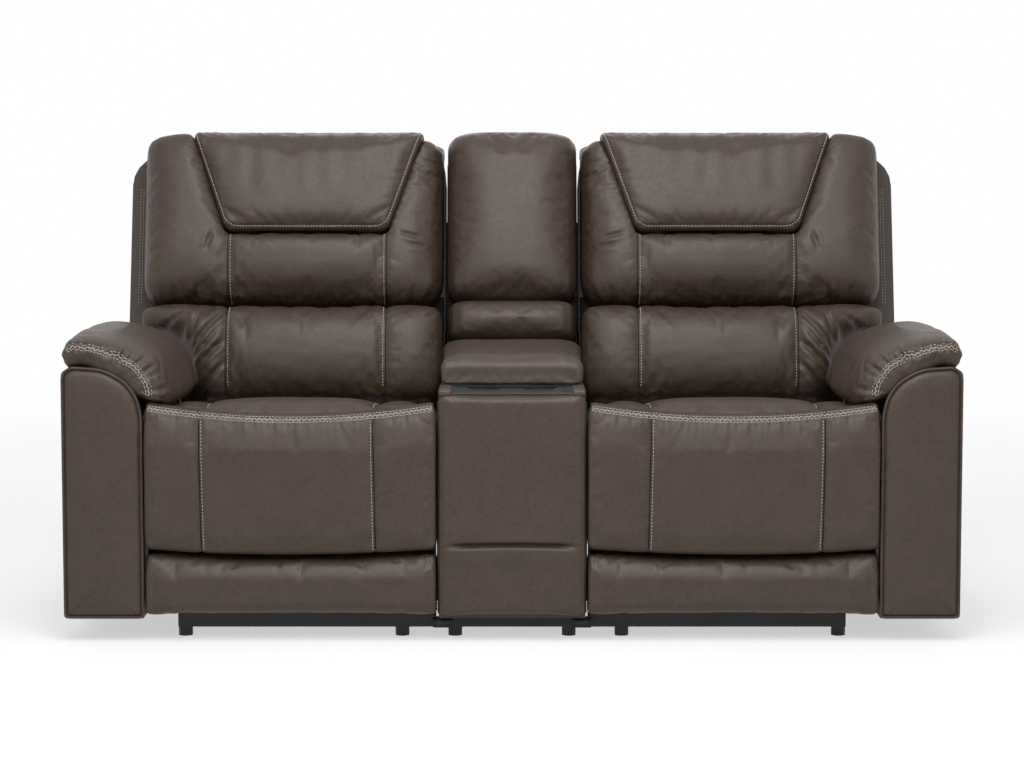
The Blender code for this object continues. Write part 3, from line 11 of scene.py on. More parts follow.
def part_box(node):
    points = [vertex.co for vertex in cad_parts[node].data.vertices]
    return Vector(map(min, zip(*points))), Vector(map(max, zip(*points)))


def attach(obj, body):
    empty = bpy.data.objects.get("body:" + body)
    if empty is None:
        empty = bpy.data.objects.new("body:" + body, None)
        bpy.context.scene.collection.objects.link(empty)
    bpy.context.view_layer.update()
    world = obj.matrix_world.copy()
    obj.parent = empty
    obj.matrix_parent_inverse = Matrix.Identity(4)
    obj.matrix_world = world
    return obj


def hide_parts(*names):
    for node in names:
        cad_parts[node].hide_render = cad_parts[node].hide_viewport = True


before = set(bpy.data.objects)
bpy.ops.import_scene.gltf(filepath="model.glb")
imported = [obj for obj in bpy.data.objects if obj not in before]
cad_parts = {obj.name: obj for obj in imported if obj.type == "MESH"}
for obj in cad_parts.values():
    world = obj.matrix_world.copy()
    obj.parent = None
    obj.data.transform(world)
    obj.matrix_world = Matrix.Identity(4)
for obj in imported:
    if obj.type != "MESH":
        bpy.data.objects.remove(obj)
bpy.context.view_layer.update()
started = time.time()


def stage(text):
    print(f"{time.time() - started:6.1f} s  {text}", flush=True)


# where things are, in metres, with the floor at zero

layout = {
    "seatMiddle": 0.4725,
    "patternShift": 0.0075,  # seams lie nearer the arm than the seat's middle
    "seam": 0.186,  # from the pattern's middle
    "lean": math.radians(16),
    "backFoot": (0.17, 0.40),
}
patternMiddle = layout["seatMiddle"] + layout["patternShift"]
seatLines = (patternMiddle - layout["seam"], patternMiddle + layout["seam"])
leanSin, leanCos = math.sin(layout["lean"]), math.cos(layout["lean"])


def toBack(points):
    # Height up the back's board and distance forward from it.
    y = points[:, 1] - layout["backFoot"][0]
    z = points[:, 2] - layout["backFoot"][1]
    return y * leanSin + z * leanCos, z * leanSin - y * leanCos


def pointsOf(x, y, z):
    return np.stack(np.broadcast_arrays(x, y, z), 1)


def fromBack(x, u, v):
    # Points from a width, a height up the board and a distance forward from it.
    y = layout["backFoot"][0] + u * leanSin - v * leanCos
    z = layout["backFoot"][1] + u * leanCos + v * leanSin
    return pointsOf(x, y, z)


# materials


class Wire:
    # A node's output that can be reckoned with.

    def __init__(self, nodes, socket):
        self.nodes, self.socket = nodes, socket

    def reckon(self, operation, first, second):
        return self.nodes.node("ShaderNodeMath", {"operation": operation}, {0: first, 1: second})

    def __add__(self, other):
        return self.reckon("ADD", self, other)

    def __radd__(self, other):
        return self.reckon("ADD", other, self)

    def __sub__(self, other):
        return self.reckon("SUBTRACT", self, other)

    def __rsub__(self, other):
        return self.reckon("SUBTRACT", other, self)

    def __mul__(self, other):
        return self.reckon("MULTIPLY", self, other)

    def __rmul__(self, other):
        return self.reckon("MULTIPLY", other, self)


class Nodes:
    # The nodes of a material or of the world.

    def __init__(self, owner):
        owner.use_nodes = True
        self.tree = owner.node_tree

    def node(self, kind, settings=None, inputs=None, out=0):
        made = self.tree.nodes.new(kind)
        for key, value in (settings or {}).items():
            setattr(made, key, value)
        for key, value in (inputs or {}).items():
            if isinstance(value, Wire):
                self.tree.links.new(value.socket, made.inputs[key])
            else:
                made.inputs[key].default_value = value
        return Wire(self, made.outputs[out])


class Finish(Nodes):
    # One material, with the shader's own numbers set at the start.

    def __init__(self, name, **numbers):
        self.material = bpy.data.materials.new(name)
        super().__init__(self.material)
        self.shader = self.tree.nodes["Principled BSDF"]
        for socket, value in numbers.items():
            self.shader.inputs[socket.replace("_", " ")].default_value = value
        self.place = self.node("ShaderNodeTexCoord", out="Object")

    def noise(self, scale, detail=2.0, rough=0.5, stretch=(1, 1, 1)):
        place = self.node("ShaderNodeMapping", None, {"Vector": self.place, "Scale": stretch})
        inputs = {"Vector": place, "Scale": scale, "Detail": detail, "Roughness": rough}
        return self.node("ShaderNodeTexNoise", None, inputs)

    def ramp(self, factor, low, high, fromLow=0.35, fromHigh=0.65):
        inputs = {"Value": factor, "From Min": fromLow, "From Max": fromHigh}
        return self.node("ShaderNodeMapRange", None, {**inputs, "To Min": low, "To Max": high})

    def mixed(self, factor, first, second):
        first, second = (c if isinstance(c, Wire) else (*c, 1) for c in (first, second))
        inputs = {0: factor, 6: first, 7: second}
        return self.node("ShaderNodeMix", {"data_type": "RGBA"}, inputs, 2)

    def drive(self, socket, wire):
        self.tree.links.new(wire.socket, self.shader.inputs[socket])

    def toned(self, factor, dark, light):
        self.drive("Base Color", self.mixed(self.ramp(factor, 0, 1), dark, light))

    def bump(self, height, distance, strength):
        inputs = {"Height": height, "Distance": distance, "Strength": strength}
        self.drive("Normal", self.node("ShaderNodeBump", None, inputs))


leatherLook = {
    "colour": (0.0480, 0.0317, 0.0228),
    "deep": (0.0352, 0.0228, 0.0160),
    "pale": (0.0620, 0.0425, 0.0318),
    "grain": 420.0,  # pebbles to the metre
    "grainDepth": 0.00030,
}


def leather(name, shade=1.0, roughness=0.43):
    look = leatherLook
    made = Finish(name, Specular_IOR_Level=0.32, Coat_Weight=0.03, Coat_Roughness=0.3)
    colour, deep, pale = ([c * shade for c in look[key]] for key in ("colour", "deep", "pale"))
    inputs = {"Vector": made.place, "Scale": look["grain"]}
    cells = made.node("ShaderNodeTexVoronoi", None, inputs, "Distance")
    cloud = made.noise(14.0, 3.0, 0.6)
    fine = made.noise(120.0, 4.0, 0.7)
    fold = made.node("ShaderNodeAttribute", {"attribute_name": "fold"}, None, "Fac")
    tone = made.mixed(made.ramp(cloud, 0.45, 1.0, 0.3, 0.7), deep, colour)
    tone = made.mixed(made.ramp(cloud * 0.25 + fine * 0.75, 0.0, 0.85, 0.40, 0.64), tone, pale)
    tone = made.mixed(made.ramp(cells, 0.0, 0.22, 0.2, 0.8), tone, deep)
    # Painted shade: the leather darkens along seams, creases and tucks, as the covers' point
    # attribute gives it.
    tone = made.mixed(fold, tone, [c * 0.16 for c in deep])
    made.drive("Base Color", tone)
    rough = made.ramp(cells, roughness - 0.04, roughness + 0.08, 0.1, 0.7)
    made.drive("Roughness", rough + made.ramp(fine, -0.06, 0.07) + fold * 0.2)
    made.bump(fine * 1.6 - cells * 0.55, look["grainDepth"], 0.8)
    return made.material


def blackSteel():
    made = Finish("blackPowderCoat", Specular_IOR_Level=0.35)
    orange = made.noise(900.0, 2.0)
    dust = made.noise(9.0, 4.0)
    made.toned(dust, (0.006, 0.006, 0.0065), (0.014, 0.0135, 0.013))
    made.drive("Roughness", made.ramp(dust, 0.38, 0.55))
    made.bump(orange, 0.0002, 0.5)
    return made.material


def plating():
    made = Finish("brightZinc", Metallic=1.0)
    brushed = made.noise(400.0, 3.0, 0.5, (0.05, 1, 1))
    made.toned(brushed, (0.34, 0.34, 0.33), (0.52, 0.52, 0.50))
    made.drive("Roughness", made.ramp(brushed, 0.25, 0.42))
    made.bump(brushed, 0.0001, 0.4)
    return made.material


def plywood():
    made = Finish("stainedPly")
    ring = made.noise(14.0, 6.0, 0.65, (1, 14, 14))
    pore = made.noise(240.0, 3.0, 0.6, (0.12, 1, 1))
    tone = made.mixed(made.ramp(ring, 0, 1), (0.060, 0.038, 0.024), (0.105, 0.068, 0.042))
    pores = made.ramp(pore, 0, 0.5, 0.55, 0.8)
    made.drive("Base Color", made.mixed(pores, tone, (0.030, 0.019, 0.012)))
    made.drive("Roughness", made.ramp(ring, 0.55, 0.72))
    made.bump(pore, 0.0003, 0.4)
    return made.material


def mouldedBlack():
    made = Finish("mouldedBlack", Specular_IOR_Level=0.5)
    spark = made.noise(1500.0, 1.0)
    cloud = made.noise(30.0, 3.0)
    made.toned(cloud, (0.010, 0.010, 0.011), (0.017, 0.017, 0.018))
    made.drive("Roughness", made.ramp(cloud, 0.42, 0.5) + made.ramp(spark, -0.05, 0.08))
    made.bump(spark, 0.00012, 0.7)
    return made.material


def thread():
    made = Finish("greigeThread", Roughness=0.62, Specular_IOR_Level=0.35)
    twist = made.noise(1800.0, 2.0, 0.5)
    cloud = made.noise(40.0, 2.0)
    tone = made.mixed(made.ramp(twist, 0, 1), (0.24, 0.21, 0.18), (0.50, 0.455, 0.40))
    made.drive("Base Color", made.mixed(made.ramp(cloud, 0.35, 0), tone, (0.17, 0.145, 0.12)))
    made.bump(twist, 0.0004, 0.8)
    return made.material


def crease():
    made = Finish("creaseShadow", Roughness=0.85, Specular_IOR_Level=0.2)
    made.toned(made.noise(120.0, 2.0), (0.006, 0.0045, 0.0038), (0.012, 0.009, 0.0075))
    return made.material


finishes = {
    "leather": leather("greyBrownLeather"),
    "leather_dark": leather("outsideLeather", 0.82, 0.5),
    "steel": blackSteel(),
    "zinc": plating(),
    "wood": plywood(),
    "plastic": mouldedBlack(),
}
threadFinish = thread()
creaseFinish = crease()


# meshes


def gridFaces(rings, around):
    # Quads between rings of points, ring after ring.
    first = np.arange(rings - 1)[:, None] * around
    j = np.arange(around)
    after = (j + 1) % around
    corners = [first + j, first + after, first + around + after, first + around + j]
    return np.stack([corner.ravel() for corner in corners], 1)


def asMesh(name, points, faces, smooth=True):
    mesh = bpy.data.meshes.new(name)
    faces = [list(face) for face in faces] if isinstance(faces, list) else faces.tolist()
    mesh.from_pydata(points.tolist(), [], faces)
    mesh.polygons.foreach_set("use_smooth", np.full(len(mesh.polygons), smooth))
    mesh.update()
    return mesh


def placed(name, data):
    obj = bpy.data.objects.new(name, data)
    bpy.context.scene.collection.objects.link(obj)
    return obj


def show(name, mesh, body, slot="leather", material=None, replaces=()):
    piece = placed(name, mesh)
    mesh.materials.append(material or finishes[slot])
    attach(piece, body)
    if replaces:
        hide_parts(*replaces)
    return piece


def finished(obj):
    # The object's mesh after its modifiers. The object itself goes.
    graph = bpy.context.evaluated_depsgraph_get()
    mesh = bpy.data.meshes.new_from_object(obj.evaluated_get(graph))
    bpy.data.objects.remove(obj)
    return mesh


def arraysOf(obj):
    # The finished mesh's points and faces.
    mesh = finished(obj)
    points = np.empty(len(mesh.vertices) * 3)
    mesh.vertices.foreach_get("co", points)
    starts = np.empty(len(mesh.polygons), int)
    corners = np.empty(len(mesh.loops), int)
    mesh.polygons.foreach_get("loop_start", starts)
    mesh.loops.foreach_get("vertex_index", corners)
    faces = np.split(corners, starts[1:])
    if len(corners) == 4 * len(starts):
        faces = corners.reshape(-1, 4)
    bpy.data.meshes.remove(mesh)
    return points.reshape(-1, 3), faces


def helper(points, faces):
    # A passing object that modifiers are tried on.
    return placed("helper", asMesh("helper", points, faces))


def pointNormals(points, quads):
    # Each point's normal: the sum of the quads' cross products round it.
    a, b, c, d = (points[quads[:, i]] for i in range(4))
    across = np.cross(c - a, d - b)
    total = np.stack(
        [np.bincount(quads.ravel(), np.repeat(across[:, i], 4), len(points)) for i in range(3)], 1
    )
    return total / np.maximum(np.linalg.norm(total, axis=1, keepdims=True), 1e-12)


def remeshed(points, faces, voxel, smoothing):
    # A closed shell as even quads, with its facets smoothed away.
    obj = helper(points, faces)
    remesh = obj.modifiers.new("even", "REMESH")
    remesh.mode = "VOXEL"
    remesh.voxel_size = voxel
    if smoothing:
        ease = obj.modifiers.new("ease", "SMOOTH")
        ease.factor = 0.5
        ease.iterations = smoothing
    return arraysOf(obj)


def filled(points, quads, held, pressure, slack):
    # The mesh blown up like a stuffed cover, with the held points still.
    obj = helper(points, quads)
    group = obj.vertex_groups.new(name="held")
    for index in np.flatnonzero(held > 0.01).tolist():
        group.add([index], float(held[index]), "REPLACE")
    cloth = obj.modifiers.new("cloth", "CLOTH")
    settings = cloth.settings
    for key, value in clothSets.items():
        setattr(settings, key, value)
    settings.uniform_pressure_force = pressure
    settings.shrink_min = -slack
    settings.vertex_group_mass = "held"
    settings.effector_weights.gravity = 0
    cloth.collision_settings.use_collision = False
    cloth.point_cache.frame_end = clothSteps
    scene = bpy.context.scene
    for step in range(1, clothSteps + 1):
        scene.frame_set(step)
    grown, _ = arraysOf(obj)
    scene.frame_set(1)
    return grown


def subdivided(points, quads):
    obj = helper(points, quads)
    finer = obj.modifiers.new("finer", "SUBSURF")
    finer.levels = finer.render_levels = 1
    return arraysOf(obj)


def bump(distance, width):
    # 1 on a line, falling away as a bell curve of that width.
    return np.exp(-((distance / width) ** 2))


def ripple(along, lengths, seed):
    # A sum of sines with these wave lengths and settled random phases.
    phases = np.random.default_rng(seed).uniform(0, 6.28, len(lengths))
    return sum(np.sin(along * 6.2832 / w + p) for w, p in zip(lengths, phases)) / len(lengths)


def wander(points, size, seed, waves=7):
    # Smooth noise: a sum of sines that run in settled random directions.
    dice = np.random.default_rng(seed)
    heading = dice.normal(size=(waves, 3))
    heading /= np.linalg.norm(heading, axis=1, keepdims=True)
    length = size * dice.uniform(0.7, 1.6, waves)
    phase = dice.uniform(0, 6.28, waves)
    return np.sin(points @ (heading / length[:, None]).T * 6.2832 + phase).sum(1) / waves


def smoothStep(value, low, high):
    share = np.clip((value - low) / (high - low), 0, 1)
    return share * share * (3 - 2 * share)


def volume(points, faces):
    # Six times the closed mesh's volume: below nothing where it is inside out.
    return sum(
        np.dot(points[f[0]], np.cross(points[f[i]], points[f[i + 1]]))
        for f in faces
        for i in range(1, len(f) - 1)
    )


def flipped(faces):
    return faces[:, ::-1] if isinstance(faces, np.ndarray) else [face[::-1] for face in faces]


def outward(points, faces):
    # The closed mesh with its faces turned so that they look out.
    return points, faces if volume(points, faces) > 0 else flipped(faces)


def tube(points, around):
    # Rings of points joined one to the next, the first and the last one closed.
    total = len(points)
    caps = [list(range(around))[::-1], list(range(total - around, total))]
    return outward(points, gridFaces(total // around, around).tolist() + caps)


def outline(corners, step):
    # A closed outline through rounded corners, each (a, b, radius), as evenly spaced points.
    knots = []
    for i, (a, b, radius) in enumerate(corners):
        here = np.array((a, b))
        before = np.array(corners[i - 1][:2]) - here
        after = np.array(corners[(i + 1) % len(corners)][:2]) - here
        before, after = before / np.linalg.norm(before), after / np.linalg.norm(after)
        half = math.acos(float(np.clip(before @ after, -1, 1))) / 2
        middle = here + (before + after) / np.linalg.norm(before + after) * radius / math.sin(half)
        start = here + before * radius / math.tan(half) - middle
        end = here + after * radius / math.tan(half) - middle
        turn = math.pi - 2 * half
        share = np.linspace(0, 1, 9)[:, None]
        swing = np.sin((1 - share) * turn) * start + np.sin(share * turn) * end
        knots.append(middle + swing / math.sin(turn))
    return evenly(np.concatenate(knots + [knots[0][:1]]), step)


def evenly(path, step, offset=0.0):
    # The path at equal steps of its length, from an offset (a share of a step) after its start.
    gaps = np.linalg.norm(np.diff(path[:, :3], axis=0), axis=1)
    run = np.concatenate([[0], np.cumsum(gaps)])
    count = max(3, round(run[-1] / step))
    marks = (np.arange(count) + offset) * run[-1] / count
    return np.stack([np.interp(marks, run, column) for column in path.T], 1)


def inwardOf(ring):
    # The unit directions square to a closed outline.
    around = np.roll(ring, -1, 0) - np.roll(ring, 1, 0)
    square = np.stack([-around[:, 1], around[:, 0]], 1)
    return square / np.linalg.norm(around, axis=1, keepdims=True)


def lofted(ring, half, rounding, step):
    # A ring carried across the width. Near its ends it draws in along a quarter circle.
    inward = inwardOf(ring)
    middle = ring.mean(0)
    if np.sum((ring + inward * 1e-3 - middle) ** 2) > np.sum((ring - middle) ** 2):
        inward = -inward
    turn = np.linspace(0, math.pi / 2, 6)
    ends = half - rounding + rounding * np.sin(turn)
    across = np.linspace(-half + rounding, half - rounding, max(3, round(2 * half / step)))[1:-1]
    widths = np.concatenate([-ends[::-1], across, ends])
    inset = np.maximum(np.abs(widths) - half + rounding, 0)
    inset = rounding - np.sqrt(np.maximum(rounding**2 - inset**2, 0))
    flat = ring[None] + inward[None] * inset[:, None, None]
    x = np.broadcast_to(widths[:, None, None], (*flat.shape[:2], 1))
    return tube(np.concatenate([x, flat], 2).reshape(-1, 3), len(ring))


def cadShell(node):
    # The node's own mesh, its loose triangles joined.
    bm = bmesh.new()
    bm.from_mesh(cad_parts[node].data)
    bmesh.ops.remove_doubles(bm, verts=bm.verts, dist=5e-5)
    bmesh.ops.recalc_face_normals(bm, faces=bm.faces)
    bm.verts.index_update()
    points = np.array([vert.co for vert in bm.verts])
    faces = [[vert.index for vert in face.verts] for face in bm.faces]
    bm.free()
    return points, faces


softSets = {"voxel": 0.0065, "smoothing": 4, "pressure": 4.0, "slack": 0.018}
clothSets = {
    "quality": 4, "mass": 0.25, "tension_stiffness": 12, "compression_stiffness": 12,
    "shear_stiffness": 6, "bending_stiffness": 0.6, "use_pressure": True,
}
clothSteps = 20


def stuffed(shell, held, cap, room, sew, smoothing=None, trim=None):
    # A stuffed cover made from a closed shell: evened, blown up by no more than the cap, then
    # sewn and kept in its room.
    points, quads = remeshed(*shell, softSets["voxel"], smoothing or softSets["smoothing"])
    grown = filled(points, quads, held(points), softSets["pressure"], softSets["slack"])
    shift = grown - points
    reach = np.linalg.norm(shift, axis=1, keepdims=True)
    points = points + shift * np.tanh(reach / cap) * cap / np.maximum(reach, 1e-9)
    points, quads = subdivided(np.clip(points, *room), quads)
    # Sewing gives depth, and painted shade along seams and creases.
    depth, fold = sew(points)
    points = np.clip(points + pointNormals(points, quads) * depth[:, None], *room)
    if trim:
        points = trim(points)
    return points, quads, np.clip(fold, 0, 1)


# A cover's mesh that carries the painted shade of its seams and creases as a point attribute.
def withPaintedShade(name, points, quads, fold):
    mesh = asMesh(name, points, quads)
    layer = mesh.attributes.new("fold", "FLOAT", "POINT")
    layer.data.foreach_set("value", fold)
    return mesh


def sides(points, faces):
    # A shape of the right seat, and its mirror image for the left one.
    yield "right", points, faces
    yield "left", points * (-1, 1, 1), flipped(faces)


def treeOf(points, faces):
    corners = faces if isinstance(faces, list) else faces.tolist()
    return BVHTree.FromPolygons(points.tolist(), corners)


def bothSides(part, arrays, body):
    # The right seat's cover and its mirror image on the left one. It gives the right one's surface.
    points, quads, fold = arrays
    for side, place, corners in sides(points, quads):
        name = f"{side}_{part}"
        mesh = withPaintedShade(name + "_cover", place, corners, fold)
        show(name + "_cover", mesh, body.replace("SIDE", side), replaces=[name])
    stage(f"{part}: {len(quads)} quads a side")
    return treeOf(points, quads)


def pairOf(part, points, faces, body="sofa_frame", slot="leather", material=None, standsFor=None):
    # A smaller piece on the right seat and its mirror image on the left one.
    for side, place, corners in sides(points, faces):
        mesh = asMesh(f"{side}_{part}", place, corners)
        replaced = [f"{side}_{standsFor}"] if standsFor else ()
        show(f"{side}_{part}", mesh, body.replace("SIDE", side), slot, material, replaced)


def stitched(part, rows, body="sofa_frame"):
    pairOf(part, *gathered(rows), body, "leather", threadFinish)


def shaded(part, blocks, body="sofa_frame"):
    # Something dark in a gap: the shadow at a seam or between two pieces.
    pairOf(part, *gathered(blocks), body, "leather", creaseFinish)


def room(node, low, high):
    # The node's box, opened by low and high.
    lowest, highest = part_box(node)
    return np.array(lowest) - low, np.array(highest) + high


# thread and piping

stitchSets = {
    "pitch": 0.0072, "length": 0.0050, "thick": 0.00088, "rise": 0.0007, "sink": 0.0005,
    "bold": {"thick": 0.00105, "length": 0.0054},
    "edge": {"thick": 0.00105, "length": 0.0056},
    "aside": 0.0062,  # from a seam's line
    "seamRadius": 0.0012,
}
beadSides = 6


def landing(tree, origins, heading):
    # Where rays from the origins meet the surface: points and normals side by side.
    hits = [tree.ray_cast(Vector(origin), Vector(heading), 0.6) for origin in origins.tolist()]
    return np.array([[*hit[0], *hit[1]] for hit in hits if hit[0] is not None])


def ontoFront(tree, x, z, start=-0.6):
    # The surface's points at these places of the front view.
    return landing(tree, pointsOf(x, start, z), (0, 1, 0))


def ontoBack(tree, x, u):
    # The surface's points over these places of the back's board.
    return landing(tree, fromBack(x, u, 0.35), (0, leanCos, -leanSin))


def nearest(tree, spots):
    hits = [tree.find_nearest(Vector(spot)) for spot in spots.tolist()]
    return np.array([[*hit[0], *hit[1]] for hit in hits if hit[0] is not None])


def sewnRow(path, pitch=None, length=None, thick=None, slant=0.0, shift=0.0):
    # One row of stitches along a path with normals: beads arched over the leather, their ends sunk
    # in it. A bead's point = place + along * length / 2 + (cos turn * side + sin turn * normal)
    # * thickness + normal * arch.
    sets = stitchSets
    pitch, length, thick = pitch or sets["pitch"], length or sets["length"], thick or sets["thick"]
    spots = evenly(path, pitch, 0.5)
    place, normal = spots[:, :3], spots[:, 3:]
    normal = normal / np.linalg.norm(normal, axis=1, keepdims=True)
    ahead = np.gradient(place, axis=0)
    ahead -= normal * np.sum(ahead * normal, 1, keepdims=True)
    ahead /= np.linalg.norm(ahead, axis=1, keepdims=True)
    side = np.cross(normal, ahead)
    place = place + side * shift
    lean = slant * np.where(np.arange(len(place)) % 2, 1, -1)[:, None]
    turnCos, turnSin = np.cos(lean), np.sin(lean)
    ahead, side = ahead * turnCos + side * turnSin, side * turnCos - ahead * turnSin
    runs = np.array([-1, -0.62, 0.62, 1])
    fat = np.array([0.30, 1, 1, 0.30]) * thick
    arch = sets["rise"] * (1 - runs**2) - sets["sink"] * runs**4
    turn = np.arange(beadSides) * 2 * math.pi / beadSides
    points = (
        place[:, None, None]
        + ahead[:, None, None] * (runs * length / 2)[None, :, None, None]
        + normal[:, None, None] * arch[None, :, None, None]
        + side[:, None, None] * (fat[:, None] * np.cos(turn))[None, :, :, None]
        + normal[:, None, None] * (fat[:, None] * np.sin(turn))[None, :, :, None]
    ).reshape(-1, 3)
    shell = gridFaces(4, beadSides)
    caps = np.array([np.arange(beadSides), np.arange(beadSides)[::-1] + 3 * beadSides])
    starts = np.arange(len(place))[:, None, None] * 4 * beadSides
    faces = (starts + shell[None, :, ::-1]).reshape(-1, 4).tolist()
    faces += (starts + caps[None, :, ::-1]).reshape(-1, beadSides).tolist()
    return points, faces


def gathered(parts):
    # Several meshes' points and faces as one.
    points, faces, start = [], [], 0
    for place, corners in parts:
        points.append(place)
        faces += [[index + start for index in face] for face in corners]
        start += len(place)
    return np.concatenate(points), faces


def braided(path, spread=0.0062):
    # Three rows side by side: a straight one, slanted stitches and another straight one.
    rows = [sewnRow(path, **stitchSets["edge"], shift=sign * spread) for sign in (-1, 1)]
    rows.append(sewnRow(path, pitch=0.0056, length=0.0082, thick=0.0013, slant=0.72))
    return gathered(rows)


def corded(path, radius, around=8, lift=0.0):
    # A round cord along a path with normals.
    path = evenly(path, 0.006)
    place, normal = path[:, :3], path[:, 3:]
    normal = normal / np.linalg.norm(normal, axis=1, keepdims=True)
    ahead = np.gradient(place, axis=0)
    ahead /= np.linalg.norm(ahead, axis=1, keepdims=True)
    side = np.cross(normal, ahead)
    turn = np.arange(around) * 2 * math.pi / around
    points = (place + normal * lift)[:, None] + radius * (
        side[:, None] * np.cos(turn)[None, :, None] + normal[:, None] * np.sin(turn)[None, :, None]
    )
    return tube(points.reshape(-1, 3), around)


def brick(low, high):
    # The corners and faces of a block.
    points = np.array([[(low, high)[(i >> k) & 1][k] for k in range(3)] for i in range(8)], float)
    faces = [[0, 2, 3, 1], [4, 5, 7, 6], [0, 1, 5, 4], [2, 6, 7, 3], [0, 4, 6, 2], [1, 3, 7, 5]]
    return points, faces


def backBrick(low, high):
    # A block from its two corners, each a width, a height up the back's board and a distance
    # forward from it.
    corners, faces = brick(low, high)
    return outward(fromBack(*corners.T), faces)


def toothed(path, towards, depth, width=0.0016, pitch=0.0072, thick=0.0016):
    # A zigzag edging: a flat ribbon along a path. Its outer edge goes out by a depth and back
    # at each pitch.
    place = evenly(path, pitch / 2)
    towards, away = np.array(towards, float), np.array((0, thick, 0))
    tips = place + towards * (depth * (np.arange(len(place)) % 2))[:, None]
    base = place - towards * width
    return tube(np.stack([base, tips, tips + away, base + away], 1).reshape(-1, 3), 4)


def creased(a, b, creases):
    # Depth and painted shade of short creases: each has its two ends, its width and its depth.
    depth, fold = np.zeros(len(a)), np.zeros(len(a))
    for (a0, b0), (a1, b1), width, deep in creases:
        run = np.array((a1 - a0, b1 - b0))
        share = ((a - a0) * run[0] + (b - b0) * run[1]) / (run @ run)
        off = np.abs((a - a0) * run[1] - (b - b0) * run[0]) / np.linalg.norm(run)
        inside = smoothStep(share, -0.25, 0.3) * (1 - smoothStep(share, 0.7, 1.25))
        depth += inside * (0.55 * deep * bump(off - 1.7 * width, width) - deep * bump(off, width))
        fold += 0.30 * inside * bump(off, width * 0.6)
    return depth, fold


stage("materials and helpers")


# seats: the deck cushion, and the two front pads that are the footrest when it is open

seatSets = {
    "valley": 0.0012, "valleyWidth": 0.008, "cut": 0.0014, "cutWidth": 0.0034,
    "padHalf": 0.3118, "notchHalf": 0.3052, "notchY": -0.4575, "notchEar": -0.0235,
    "topEnds": 0.516, "topDip": 0.026, "bottom": 0.194, "sag": 0.012,
    "seamSlant": 0.018,  # the seams lean in towards the middle, to the metre
    "seamEnds": (0.478, 0.199), "braidHalf": 0.303, "braidDrop": 0.012,
    "sideEdges": ((0.064, 0.184), (0.216, 0.498)), "seatRow": (-0.368, -0.06),
    "upperRing": (
        (-0.4253, 0.0, 0.006), (-0.4985, 0.0, 0.016), (-0.5040, 0.060, 0.12),
        (-0.5040, 0.225, 0.10), (-0.4865, 0.322, 0.022), (-0.4245, 0.318, 0.014),
    ),
    "lowerRing": (
        (-0.4253, 0.058, 0.006), (-0.4980, 0.058, 0.016), (-0.5020, 0.095, 0.05),
        (-0.5000, 0.140, 0.06), (-0.4820, 0.187, 0.018), (-0.4253, 0.187, 0.006),
    ),
}


def seatSeams(z):
    lean = (z - 0.5) * seatSets["seamSlant"]
    return [line + lean + 0.0015 for line in seatLines]


def seamGap(x, lines):
    return np.minimum(np.abs(x - lines[0]), np.abs(x - lines[1]))


def sewnSeams(x, lines, sets):
    # Depth and painted shade at two seams: a broad valley, and the cut of the seam in it.
    gap = seamGap(x, lines)
    valley = -sets["valley"] * bump(gap, sets["valleyWidth"])
    return valley - sets["cut"] * bump(gap, sets["cutWidth"]), 0.30 * bump(gap, 0.0034)


def uneven(points, seed, high, size, lowHigh, lowSize):
    # Broad waves and finer ones on them.
    return high * wander(points, size, seed) + lowHigh * wander(points, lowSize, seed + 1)


def padTop(x):
    middle = 1 - ((x - layout["seatMiddle"]) / seatSets["padHalf"]) ** 2
    return seatSets["topEnds"] - seatSets["topDip"] * middle


def seatHeld(points):
    x, y, z = points.T
    side = smoothStep(np.abs(x - layout["seatMiddle"]), 0.296, 0.306)
    seam = bump(seamGap(x, seatLines), 0.006)
    foot, rear = 1 - smoothStep(z, 0.385, 0.42), smoothStep(y, 0.05, 0.10)
    return np.maximum.reduce([foot, side, seam, rear])


def sewSeat(points):
    x, y, z = points.T
    depth, fold = sewnSeams(x, seatLines, seatSets)
    top = smoothStep(z, 0.42, 0.45)
    return depth * top + 0.0014 * wander(points, 0.16, 3) * top, fold * top


def frontHeld(points):
    x, y, z = points.T
    side = smoothStep(np.abs(x - layout["seatMiddle"]), 0.298, 0.308)
    seam = bump(seamGap(x, seatSeams(z)), 0.005)
    braid = bump(z - padTop(x) + 0.012, 0.006) * (y < -0.48)
    rear, foot = smoothStep(y, -0.462, -0.448), 1 - smoothStep(z, 0.20, 0.212)
    return np.maximum.reduce([side, rear, seam, foot, braid * 0.8])


def sewFront(points):
    x, y, z = points.T
    face = 1 - smoothStep(y, -0.455, -0.435)
    depth, fold = sewnSeams(x, seatSeams(z), seatSets)
    braid = z - padTop(x) + 0.012
    along = ripple(x, (0.023, 0.014, 0.037), 21)
    depth = depth - 0.0016 * bump(braid, 0.0085) + 0.0009 * along * bump(braid + 0.014, 0.014)
    depth += uneven(points, 5, 0.0012, 0.20, 0.0004, 0.05)
    # Painted shade in the seams and along the braid's edges.
    return depth * face, (fold + 0.30 * bump(np.abs(braid) - 0.009, 0.0025)) * face


def trimFront(points):
    # The rear of a front pad stays narrower, clear of the seat's side plates.
    x, y, z = points.T
    notch = seatSets["notchY"] + seatSets["notchEar"] * smoothStep(z, 0.393, 0.399)
    half = np.where(y > notch, seatSets["notchHalf"], seatSets["padHalf"])
    middle = layout["seatMiddle"]
    return pointsOf(np.clip(x, middle - half, middle + half), y, z)


def frontShell(ring, heights):
    # A front pad's shell. heights gives its points' heights, from their own and their closeness
    # to the seat's middle.
    half = seatSets["padHalf"]
    points, faces = lofted(outline(ring, 0.006), half, 0.011, 0.006)
    x, y, z = points.T
    return pointsOf(x + layout["seatMiddle"], y, heights(z, 1 - (x / half) ** 2)), faces


